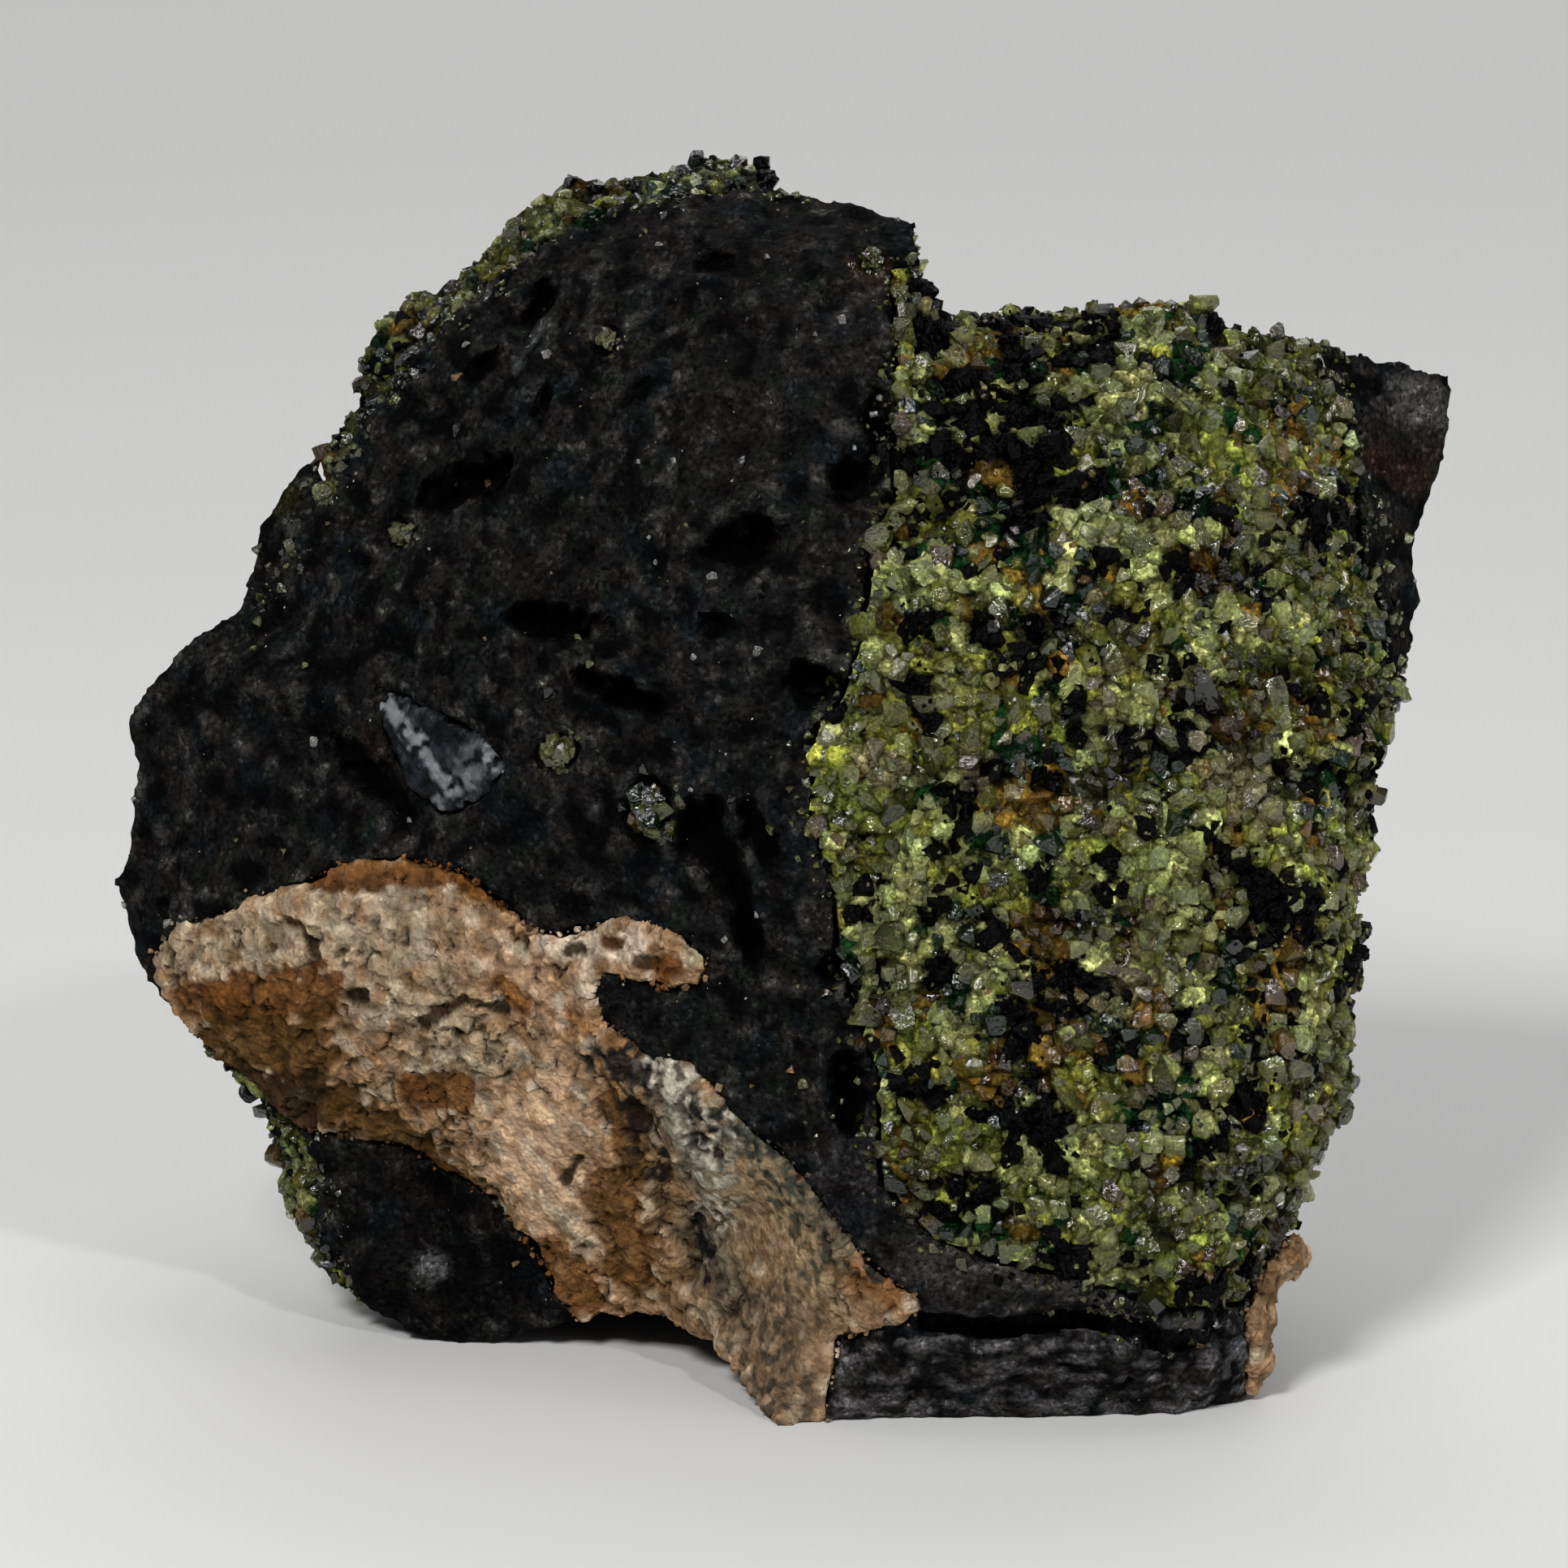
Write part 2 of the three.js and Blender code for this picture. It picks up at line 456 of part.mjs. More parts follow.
/** The prism that an outline cuts along the viewer's lines of sight. */
function sightPrism(outline, farthest, nearest) {
  const shape = new THREE.Shape(outline.map(([x, y]) => new THREE.Vector2(x, y)));
  const geometry = new THREE.ExtrudeGeometry(shape, {
    depth: nearest - farthest,
    bevelEnabled: false,
  });
  return geometry.translate(0, 0, farthest);
}

const frontSurface = new DrapedSurface(RIM, [
  ...BASALT_EDGE,
  ...BASALT_FACE,
  ...BROW,
  ...CRUST_FACE,
  ...DARK_LUMP,
  ...LOWER_BAND,
  ...NODULE_FACE,
  ...BASALT_WEDGE,
]);
const backSurface = new DrapedSurface(RIM, [...FAR_SIDE, ...UNDERSIDE]);

/** The back nodule's front limit at a height in the view. */
function backNoduleFront(up) {
  return BACK_NODULE_FRONT + BACK_NODULE_LEAN * up;
}

/** How the front breaks at a place: peridot, crust and basalt break differently. */
function frontGrain(right, up) {
  if (isInside(NODULE_OUTLINE, right, up)) {
    return NODULE_GRAIN;
  }
  return isInside(CRUST_OUTLINE, right, up) ? CRUST_GRAIN : BASALT_GRAIN;
}

/** How the far side breaks at a place. */
function backGrain(right, up) {
  return isInside(BACK_NODULE_OUTLINE, right, up) ? BACK_GRAIN : BACK_BASALT_GRAIN;
}

/** A smooth surface broken into facets, with the corners moved in and out. */
function brokenSurface(smooth, grainAt, seed) {
  const random = randomStream(seed);
  const noise = new ImprovedNoise();
  const whole = [[-50, -50], [-50, 50], [50, 50], [50, -50]];
  const corners = spreadPlaces(smooth, whole, ([right, up]) => grainAt(right, up).spacing, random);
  return new DrapedSurface(
    RIM,
    corners.map(({ x, y, z }) => {
      const { wave, jitter } = grainAt(x, y);
      const height = noise.noise(x / 6, y / 6, z / 6) * wave + (random() - 0.5) * jitter;
      return [x, y, z + height];
    }),
  );
}

/** The stone's front and far side, closed along the rim, in the viewer's frame. */
function wholeSurface() {
  const corners = [];
  const sides = [
    { surface: brokenSurface(frontSurface, frontGrain, 3), order: [0, 1, 2] },
    { surface: brokenSurface(backSurface, backGrain, 5), order: [0, 2, 1] },
  ];
  for (const { surface, order } of sides) {
    for (const triangle of surface.triangles) {
      corners.push(...order.map((k) => new THREE.Vector3(...surface.points[triangle[k]])));
    }
  }
  return new THREE.BufferGeometry().setFromPoints(corners);
}

/** The way a surface faces at a place seen by the viewer. */
function facingAt(surface, [right, up]) {
  const step = 1.2;
  const middle = surface.nearAt(right, up);
  const slope = (dx, dy) => ((surface.nearAt(right + dx, up + dy) ?? middle) - middle) / step;
  return new THREE.Vector3(-slope(step, 0), -slope(0, step), 1).normalize();
}

/** An ellipsoid of flat facets that lies in a surface, turned in the view. */
function lyingEllipsoid(surface, { at, long, wide, turn }, sink, facets) {
  const angle = THREE.MathUtils.degToRad(turn);
  const normal = facingAt(surface, at);
  const along = new THREE.Vector3(Math.cos(angle), Math.sin(angle), 0);
  along.addScaledVector(normal, -along.dot(normal)).normalize();
  const across = new THREE.Vector3().crossVectors(normal, along);
  const centre = new THREE.Vector3(...at, surface.nearAt(...at)).addScaledVector(normal, -sink);
  const matrix = new THREE.Matrix4().makeBasis(along, across, normal).setPosition(centre);
  return new THREE.IcosahedronGeometry(1, facets).scale(long, wide, wide).applyMatrix4(matrix);
}

/** The bubbles as one solid to cut away. */
function bubbleSolid() {
  return wasm.Manifold.union(
    BUBBLES.map((bubble) => {
      const facets = bubble.long > ROUND_BUBBLE ? 1 : 0;
      const shape = lyingEllipsoid(frontSurface, bubble, bubble.wide * 0.25, facets);
      return toSolid(placeGeometry(shape));
    }),
  );
}

/** One loose grain, grown by a distance for the hole that holds it. */
function grainSolid(grain, extra) {
  const size = { ...grain, long: grain.long + extra, wide: grain.wide + extra };
  return toSolid(placeGeometry(lyingEllipsoid(frontSurface, size, grain.wide * 0.35, 0)));
}

/** The holes for the loose grains. */
function grainRooms() {
  return wasm.Manifold.union(GRAINS.map((grain) => grainSolid(grain, GAP)));
}

/** Places spread evenly over an outline on a surface, with a spacing for each place. */
function spreadPlaces(surface, outline, spacingAt, random) {
  const rights = outline.map(([x]) => x);
  const ups = outline.map(([, y]) => y);
  const [left, low] = [Math.min(...rights), Math.min(...ups)];
  const [width, height] = [Math.max(...rights) - left, Math.max(...ups) - low];
  const chosen = [];
  for (let tries = 0; tries < SPREAD_TRIES; tries += 1) {
    const [right, up] = [left + width * random(), low + height * random()];
    const near = surface.nearAt(right, up);
    const place = new THREE.Vector3(right, up, near ?? 0);
    const spacing = spacingAt([right, up]);
    if (near !== null && isInside(outline, right, up)) {
      if (chosen.every((other) => other.distanceTo(place) > spacing)) {
        chosen.push(place);
      }
    }
  }
  return chosen;
}

/** Whether a place keeps a distance from the rim all round. */
function isClearOfRim(surface, { x, y }, distance) {
  return [0, 1, 2, 3, 4, 5, 6, 7].every((eighth) => {
    const angle = (eighth * Math.PI) / 4;
    const [right, up] = [x + distance * Math.cos(angle), y + distance * Math.sin(angle)];
    return surface.nearAt(right, up) !== null;
  });
}

/** Crystals with flat faces that stand out of a nodule's surface. */
function crystalSolids(surface, outline, { spacing, smallest, largest }, seed) {
  const random = randomStream(seed);
  const sink = surface === backSurface ? -CRYSTAL_SINK : CRYSTAL_SINK;
  return spreadPlaces(surface, outline, () => spacing, random)
    .filter((place) => isClearOfRim(surface, place, largest * 0.7))
    .map((place) => {
      const size = smallest + (largest - smallest) * random() ** 1.5;
      const turned = new THREE.Euler(random() * 6.3, random() * 6.3, random() * 6.3);
      const crystal = new THREE.IcosahedronGeometry(size, 0)
        .scale(1, 0.75 + 0.2 * random(), 0.6 + 0.2 * random())
        .applyMatrix4(new THREE.Matrix4().makeRotationFromEuler(turned));
      place.addScaledVector(facingAt(surface, [place.x, place.y]), -sink * size);
      return toSolid(placeGeometry(crystal.translate(place.x, place.y, place.z)));
    });
}

/** A box below the ground, which cuts the stone's underside flat. */
function groundSolid() {
  return toSolid(new THREE.BoxGeometry(200, 200, 20).translate(0, 0, -10));
}

/** The back nodule's room: an outline along the lines of sight behind a leaning front. */
function backNoduleRoom(extra) {
  const room = sightPrism(grown(BACK_NODULE_OUTLINE, extra), FARTHEST, BACK_NODULE_FRONT);
  const positions = room.getAttribute("position");
  for (let i = 0; i < positions.count; i += 1) {
    if (positions.getZ(i) > BACK_NODULE_FRONT - 1) {
      positions.setZ(i, backNoduleFront(positions.getY(i)) + extra);
    }
  }
  return toSolid(placeGeometry(room));
}

const seenPrism = (outline, farthest, nearest = NEAREST) =>
  toSolid(placeGeometry(sightPrism(outline, farthest, nearest)));

const ground = groundSolid();
const stone = toSolid(placeGeometry(wholeSurface())).subtract(ground);
const backwards = new THREE.Vector3(0, Math.cos(VIEW_DOWN), -Math.sin(VIEW_DOWN));

/** The stone moved back from the viewer and to the left. */
function movedBack(back, left = 0) {
  return stone.translate([-left, backwards.y * back, backwards.z * back]);
}

/** The coarse peridot nodule on the front. */
function frontNodule() {
  const crystals = crystalSolids(frontSurface, NODULE_OUTLINE, FRONT_CRYSTAL, 11);
  const room = seenPrism(NODULE_OUTLINE, NODULE_DEPTH);
  return wasm.Manifold.union([stone, ...crystals]).intersect(room).subtract(ground);
}

/** The peridot nodule behind the basalt, which shows along the left rims. */
function backNodule() {
  const crystals = crystalSolids(backSurface, BACK_NODULE_OUTLINE, BACK_CRYSTAL, 23);
  return wasm.Manifold.union([stone, ...crystals])
    .intersect(backNoduleRoom(0))
    .subtract(grainRooms())
    .subtract(ground);
}

/** The lime crust, a coat of even thickness over the basalt. */
function limeCrust() {
  const room = seenPrism(CRUST_OUTLINE, CRUST_END);
  const inner = movedBack(CRUST_THICKNESS).add(movedBack(CRUST_THICKNESS + GAP));
  return stone.intersect(room).subtract(inner);
}

/** The small crust on the lower right edge. */
function edgeCrust() {
  const room = seenPrism(EDGE_CRUST_OUTLINE, EDGE_CRUST_END);
  const behind = CRUST_THICKNESS + GAP;
  const inner = movedBack(CRUST_THICKNESS, CRUST_THICKNESS).add(movedBack(behind, behind));
  return stone.intersect(room).subtract(inner);
}

/** The pale feldspar crystal. */
function feldspar() {
  const near = frontSurface.nearAt(-21, 2);
  return stone.intersect(seenPrism(FELDSPAR_OUTLINE, near - FELDSPAR_DEPTH));
}

/** The basalt, with room for every other piece, its bubbles, its ledge and its crack. */
function basalt() {
  const near = frontSurface.nearAt(-21, 2);
  const crustRoom = seenPrism(grown(CRUST_OUTLINE, GAP), CRUST_END - GAP);
  const edgeRoom = seenPrism(grown(EDGE_CRUST_OUTLINE, GAP), EDGE_CRUST_END - GAP);
  const behind = CRUST_THICKNESS + GAP;
  return stone
    .subtract(seenPrism(grown(NODULE_OUTLINE, GAP), NODULE_DEPTH - GAP))
    .subtract(backNoduleRoom(GAP))
    .subtract(crustRoom.subtract(movedBack(behind)))
    .subtract(edgeRoom.subtract(movedBack(behind, behind)))
    .subtract(seenPrism(grown(FELDSPAR_OUTLINE, GAP), near - FELDSPAR_DEPTH - GAP))
    .subtract(seenPrism(LEDGE_OUTLINE, -3.2))
    .subtract(seenPrism(CRACK_OUTLINE, -2.2))
    .subtract(grainRooms())
    .subtract(bubbleSolid());
}

const basaltStone = new THREE.MeshStandardMaterial({ color: "#3a3836", roughness: 0.85 });
const peridot = new THREE.MeshStandardMaterial({ color: "#8a9a45", roughness: 0.3 });
const lime = new THREE.MeshStandardMaterial({ color: "#c9ab80", roughness: 0.95 });
const paleFeldspar = new THREE.MeshStandardMaterial({ color: "#9aa6aa", roughness: 0.4 });

const specimen = new THREE.Group();
specimen.add(
  toMesh("basalt", largestBody(basalt()), basaltStone),
  toMesh("peridot_front", largestBody(frontNodule()), peridot),
  toMesh("peridot_back", largestBody(backNodule()), peridot),
  toMesh("lime_crust", largestBody(limeCrust()), lime),
  toMesh("edge_crust", largestBody(edgeCrust()), lime),
  toMesh("feldspar", largestBody(feldspar()), paleFeldspar),
  ...GRAINS.map((grain, i) => toMesh(`peridot_grain_${i + 1}`, grainSolid(grain, 0), peridot)),
);

export default specimen;
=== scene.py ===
"""The looks of a hand specimen: granular peridot in dark basalt, with a lime crust.

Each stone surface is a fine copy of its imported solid, roughened and tinted point by point.
The peridot nodules get several thousand small see-through crystals on top.
"""

import logging
import math
import random
from dataclasses import dataclass, field
from enum import Enum
from typing import Iterable, Sequence

import bmesh
import bpy
import numpy as np
from mathutils import Euler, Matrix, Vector, noise
from mathutils.bvhtree import BVHTree


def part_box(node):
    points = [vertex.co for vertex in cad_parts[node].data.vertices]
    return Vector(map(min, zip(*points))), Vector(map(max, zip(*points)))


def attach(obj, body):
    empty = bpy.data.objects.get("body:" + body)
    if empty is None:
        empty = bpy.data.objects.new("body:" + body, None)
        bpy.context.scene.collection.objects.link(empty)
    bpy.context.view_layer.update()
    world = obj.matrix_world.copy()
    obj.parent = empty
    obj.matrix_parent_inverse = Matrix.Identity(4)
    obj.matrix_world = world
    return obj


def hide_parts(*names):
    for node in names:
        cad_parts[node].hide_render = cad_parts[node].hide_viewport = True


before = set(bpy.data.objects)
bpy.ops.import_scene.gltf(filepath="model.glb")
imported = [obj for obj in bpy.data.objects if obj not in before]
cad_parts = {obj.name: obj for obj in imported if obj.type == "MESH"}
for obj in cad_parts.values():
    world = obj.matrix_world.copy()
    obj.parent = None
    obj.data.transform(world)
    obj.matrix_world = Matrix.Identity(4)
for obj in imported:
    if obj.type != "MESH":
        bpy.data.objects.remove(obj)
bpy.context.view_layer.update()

log = logging.getLogger("specimen")

MM = 0.001  # a millimetre in metres
TINT = "tint"  # the attribute that holds the colour of each vertex
WELD = 0.000001  # corners closer than this are one, in metres
KEPT_ROWS = 4  # rows of small faces that are kept past a surface's open part
KEPT_SHARE = 0.05  # the share of its faces that the hidden part keeps
RAY_START = 0.1  # how far under a surface the search for a cover starts, in millimetres
RAY_LENGTH = 1.2  # how far that search goes, in millimetres
LOWEST_CORNER = 0.05  # the lowest that a crystal's corner may lie, in millimetres
Colour = tuple[float, float, float]
Feed = bpy.types.NodeSocket | float | tuple[float, ...]  # what an input of a node can get


def from_screen(red: int, green: int, blue: int) -> Colour:
    """Turns a colour as a screen shows it into linear light, by the usual screen curve.

    Args:
        red: Red from 0 to 255.
        green: Green from 0 to 255.
        blue: Blue from 0 to 255.

    Returns:
        The three linear values.
    """
    parts = [value / 255 for value in (red, green, blue)]
    return tuple(
        ((part + 0.055) / 1.055) ** 2.4 if part > 0.04 else part / 12.92 for part in parts
    )


@dataclass(frozen=True)
class View:
    """The place the stone is seen from, and where things lie in that view.

    Attributes:
        distance: How far the eye is from the middle of the view, in metres.
        down: How steeply it looks down, in radians.
        middle: The middle of the view.
        width: How wide the view is at its middle, in metres.
    """

    distance: float = 0.5
    down: float = math.radians(12)
    middle: Vector = field(default_factory=lambda: Vector((0, -19.8 * MM, 39.2 * MM)))
    width: float = 96.6 * MM

    @property
    def towards_viewer(self) -> Vector:
        """The direction from the middle of the stone to the viewer."""
        return Vector((0, -math.cos(self.down), math.sin(self.down)))

    @property
    def upwards(self) -> Vector:
        """The upward direction in the view."""
        return Vector((0, math.sin(self.down), math.cos(self.down)))

    @property
    def eye(self) -> Vector:
        """Where the viewer's eye is."""
        return self.middle + self.towards_viewer * self.distance

    def seen(self, points: np.ndarray) -> np.ndarray:
        """Finds where points lie in the view.

        Args:
            points: Rows of x, y and z in metres.

        Returns:
            Rows of millimetres to the right of the view's middle and up from it.
        """
        local = points - np.array(self.middle)
        near = local @ np.array(self.towards_viewer)
        reach = (self.distance - near) / self.distance
        up = local @ np.array(self.upwards)
        return np.stack([local[:, 0], up], axis=1) / reach[:, None] / MM


VIEW = View()


@dataclass(frozen=True)
class Patch:
    """A soft-edged patch of one colour, placed in the view in millimetres.

    Attributes:
        right: How far its middle is to the right.
        up: How far its middle is up.
        radius: Its radius.
        colour: Its colour.
        strength: How well it covers, from 0 to 1.
        reach: How far right and up it is drawn out into a stroke.
    """

    right: float
    up: float
    radius: float
    colour: Colour
    strength: float = 1.0
    reach: tuple[float, float] = (0, 0)

    def weight(self, seen: np.ndarray, ragged: np.ndarray) -> np.ndarray:
        """How strongly the patch covers each place.

        Args:
            seen: Rows of right and up.
            ragged: A number for each place that makes the edge uneven.

        Returns:
            A weight from 0 to 1 for each place.
        """
        line = np.array(self.reach)
        from_start = seen - np.array([self.right, self.up])
        share = np.clip(from_start @ line / max(line @ line, 0.01), 0, 1)
        away = np.linalg.norm(from_start - share[:, None] * line, axis=1) / self.radius
        # the soft edge starts at about half the radius and ends at about one and a half
        return np.clip(1.6 - away * 1.1 + ragged, 0, 1) * self.strength


def noise_at(points: np.ndarray, size: float, seed: float = 0.0) -> np.ndarray:
    """Smooth noise over points.

    Args:
        points: Rows of x, y and z in metres.
        size: How far apart the waves are, in millimetres.
        seed: A shift that gives another pattern.

    Returns:
        A number from about -1 to 1 for each point.
    """
    scaled = points / (size * MM) + seed
    return np.array([noise.noise(row) for row in scaled.tolist()])


def blotches(
    points: np.ndarray,
    size: float,
    seed: float,
    gain: float,
    spread: float = 0.0,
    most: float = 1.0,
) -> np.ndarray:
    """Blotches that are strewn over points, with nothing between them.

    Args:
        points: Rows of x, y and z in metres.
        size: How far apart they are, in millimetres.
        seed: A shift that gives another pattern.
        gain: How steeply they rise at their edges.
        spread: How wide they are: 0 where they cover half, more for more.
        most: How much they weigh in their middles.

    Returns:
        A number from 0 to the most for each point.
    """
    return np.clip(noise_at(points, size, seed) * gain + spread, 0, most)


@dataclass(frozen=True)
class Cells:
    """Irregular cells that fill space: where each point lies in its own cell.

    Attributes:
        middles: Rows of x, y and z of the middle of each point's cell, in metres.
        offsets: Rows from that middle to the point, in cells.
        edge: How far each point is from its cell's edge, in cells.
        mark: A number from 0 to 1 that is the same all over a cell.
    """

    middles: np.ndarray
    offsets: np.ndarray
    edge: np.ndarray
    mark: np.ndarray

    @classmethod
    def at(cls, points: np.ndarray, size: float, seed: float = 0.0) -> "Cells":
        """Divides the space round points into cells.

        Args:
            points: Rows of x, y and z in metres.
            size: The cells' size in millimetres.
            seed: A shift that gives another pattern.

        Returns:
            The cells.
        """
        scaled = points / (size * MM) + seed
        rows = []
        for row in scaled.tolist():
            distances, centres = noise.voronoi(row)
            rows.append((*centres[0], distances[1] - distances[0]))
        rows = np.array(rows)
        middles = rows[:, :3]
        # any large numbers will do here that scatter the marks well
        mark = np.sin(middles @ np.array([12.9, 78.2, 37.7])) * 43758.5 % 1
        return cls((middles - seed) * size * MM, scaled - middles, rows[:, 3], mark)

    def facets(self) -> np.ndarray:
        """Gives each cell a flat face that leans its own way.

        Returns:
            How high each point is on its cell's face, in cells.
        """
        lean = np.sin(self.mark[:, None] * np.array([61.0, 97.0, 143.0]))
        return (self.offsets * lean).sum(axis=1)

    def pits(self, share: float, smallest: float, largest: float) -> np.ndarray:
        """Finds round pits in the middles of some of the cells.

        Args:
            share: The share of cells that hold a pit.
            smallest: The smallest pit's radius, in cells.
            largest: The largest pit's radius, in cells.

        Returns:
            0 outside the pits, up to 1 in their middles.
        """
        radius = smallest + (largest - smallest) * (self.mark / share)
        away = np.linalg.norm(self.offsets, axis=1)
        depth = np.clip(1 - (away / radius) ** 2, 0, 1)
        return depth * (self.mark < share)


def mix(base: np.ndarray, colour: Sequence[float], weight: np.ndarray) -> np.ndarray:
    """Blends a colour into rows of colours.

    Args:
        base: Rows of red, green and blue.
        colour: The colour to blend in.
        weight: How much of it, for each row.

    Returns:
        The blended rows.
    """
    return base * (1 - weight[:, None]) + np.array(colour) * weight[:, None]


def sharpened(weight: np.ndarray) -> np.ndarray:
    """Gives the soft edge of a patch's weight a crisp step."""
    return np.clip(weight * 2.6 - 0.8, 0, 1)


def paint(piece: bpy.types.Object, colours: np.ndarray) -> None:
    """Stores a colour for each vertex of a piece.

    Args:
        piece: The piece to colour.
        colours: Rows of red, green and blue.
    """
    layer = piece.data.color_attributes.new(TINT, "FLOAT_COLOR", "POINT")
    whole = np.concatenate([np.clip(colours, 0, 1), np.ones((len(colours), 1))], axis=1)
    layer.data.foreach_set("color", whole.astype(np.float32).ravel())


def vertex_rows(mesh: bpy.types.Mesh, what: str) -> np.ndarray:
    """Reads three numbers for each vertex of a mesh.

    Args:
        mesh: The mesh.
        what: Blender's name for them.

    Returns:
        Rows of three numbers.
    """
    flat = np.empty(len(mesh.vertices) * 3, dtype=np.float32)
    mesh.vertices.foreach_get(what, flat)
    return flat.reshape(-1, 3).astype(float)


def vertex_places(mesh: bpy.types.Mesh) -> np.ndarray:
    """Gives the vertices of a mesh as rows of x, y and z."""
    return vertex_rows(mesh, "co")


def vertex_normals(mesh: bpy.types.Mesh) -> np.ndarray:
    """Gives the vertex normals of a mesh as rows of x, y and z."""
    return vertex_rows(mesh, "normal")


def move_vertices(mesh: bpy.types.Mesh, places: np.ndarray) -> None:
    """Puts the vertices of a mesh in new places, none of them below the ground.

    Args:
        mesh: The mesh.
        places: Rows of x, y and z.
    """
    places[:, 2] = np.maximum(places[:, 2], 0)
    mesh.vertices.foreach_set("co", places.astype(np.float32).ravel())
    mesh.update()


def new_piece(name: str, mesh: bpy.types.Mesh, node: str | None) -> bpy.types.Object:
    """Adds a piece to the scene and ties it to the stone.

    Args:
        name: The piece's name.
        mesh: Its mesh.
        node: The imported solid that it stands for, if any.

    Returns:
        The piece.
    """
    mesh.name = name
    piece = bpy.data.objects.new(name, mesh)
    bpy.context.scene.collection.objects.link(piece)
    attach(piece, "root")
    if node:
        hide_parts(node)
    return piece


def applied(carrier: bpy.types.Object) -> bpy.types.Mesh:
    """Makes a mesh of what an object's modifiers make, and removes the object.

    Args:
        carrier: The object.

    Returns:
        The mesh.
    """
    graph = bpy.context.evaluated_depsgraph_get()
    made = bpy.data.meshes.new_from_object(carrier.evaluated_get(graph))
    bpy.data.objects.remove(carrier)
    return made


def fine_copy(node: str, voxel: float, cover: BVHTree) -> bpy.types.Mesh:
    """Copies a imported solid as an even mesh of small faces, larger ones where it is hidden.

    Args:
        node: The solid's name.
        voxel: The faces' size in millimetres.
        cover: The stones that hide part of it.

    Returns:
        The new mesh.
    """
    merged = bmesh.new()
    merged.from_mesh(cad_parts[node].data)
    bmesh.ops.remove_doubles(merged, verts=merged.verts, dist=WELD)
    mesh = bpy.data.meshes.new(f"{node}_merged")
    merged.to_mesh(mesh)
    merged.free()
    carrier = bpy.data.objects.new(f"{node}_carrier", mesh)
    bpy.context.scene.collection.objects.link(carrier)
    remesh = carrier.modifiers.new("even", "REMESH")
    remesh.mode = "VOXEL"
    remesh.voxel_size = voxel * MM
    fine = applied(carrier)
    fine.materials.clear()
    return thin_hidden(fine, cover)


def thin_hidden(mesh: bpy.types.Mesh, cover: BVHTree) -> bpy.types.Mesh:
    """Makes the faces larger where other stones hide a surface.

    Args:
        mesh: The surface.
        cover: The stones that can hide it.

    Returns:
        The surface with fewer faces.
    """
    bare = in_the_open(vertex_places(mesh), vertex_normals(mesh), cover)
    starts, stops = edge_ends(mesh)
    for _ in range(KEPT_ROWS):
        beside = np.bincount(starts, bare[stops], len(bare))
        beside += np.bincount(stops, bare[starts], len(bare))
        bare = np.maximum(bare, beside > 0)
    hidden = np.flatnonzero(bare == 0)
    carrier = bpy.data.objects.new("thinned", mesh)
    bpy.context.scene.collection.objects.link(carrier)
    carrier.vertex_groups.new(name="hidden").add(hidden.tolist(), 1.0, "REPLACE")
    thin = carrier.modifiers.new("thin", "DECIMATE")
    thin.vertex_group = "hidden"
    thin.ratio = 1 - (1 - KEPT_SHARE) * len(hidden) / len(bare)
    return applied(carrier)


def solid_tree(*nodes: str) -> BVHTree:
    """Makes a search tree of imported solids.

    Args:
        nodes: Their names.

    Returns:
        The tree.
    """
    joined = bmesh.new()
    for node in nodes:
        joined.from_mesh(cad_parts[node].data)
    tree = BVHTree.FromBMesh(joined)
    joined.free()
    return tree


def mesh_tree(mesh: bpy.types.Mesh) -> BVHTree:
    """Makes a search tree of a mesh.

    Args:
        mesh: The mesh.

    Returns:
        The tree.
    """
    shape = bmesh.new()
    shape.from_mesh(mesh)
    tree = BVHTree.FromBMesh(shape)
    shape.free()
    return tree


def edge_ends(mesh: bpy.types.Mesh) -> tuple[np.ndarray, np.ndarray]:
    """Finds the vertices at the two ends of each edge of a mesh.

    Args:
        mesh: The mesh.

    Returns:
        The vertices at the first ends, and those at the other ends.
    """
    ends = np.empty(len(mesh.edges) * 2, dtype=np.int32)
    mesh.edges.foreach_get("vertices", ends)
    return ends[0::2], ends[1::2]


def hollowness(mesh: bpy.types.Mesh, rounds: int) -> np.ndarray:
    """Measures how hollow the surface is at each vertex, in millimetres.

    Args:
        mesh: The surface.
        rounds: How often it is evened out, which sets how wide a hollow can be.

    Returns:
        More than 0 in a hollow, less than 0 on a bump.
    """
    places, normals = vertex_places(mesh), vertex_normals(mesh)
    starts, stops = edge_ends(mesh)
    total = len(places)
    degree = np.bincount(starts, minlength=total) + np.bincount(stops, minlength=total)
    degree = np.maximum(degree, 1)
    even = places.copy()
    for _ in range(rounds):
        for axis in range(3):
            column = even[:, axis]
            gathered = np.bincount(starts, column[stops], total)
            gathered += np.bincount(stops, column[starts], total)
            even[:, axis] = gathered / degree
    return ((even - places) * normals).sum(axis=1) / MM


def add_node(
    tree: bpy.types.NodeTree, kind: str, inputs: dict[str | int, Feed], operation: str = ""
) -> bpy.types.Node:
    """Adds a node to a tree and feeds its inputs.

    Args:
        tree: The tree.
        kind: The node's type.
        inputs: What each input gets, by its name or number: a value or another node's output.
        operation: What a node that calculates does.

    Returns:
        The node.
    """
    node = tree.nodes.new(kind)
    if operation:
        node.operation = operation
    for name, feed in inputs.items():
        if isinstance(feed, bpy.types.NodeSocket):
            tree.links.new(feed, node.inputs[name])
        else:
            node.inputs[name].default_value = feed
    return node


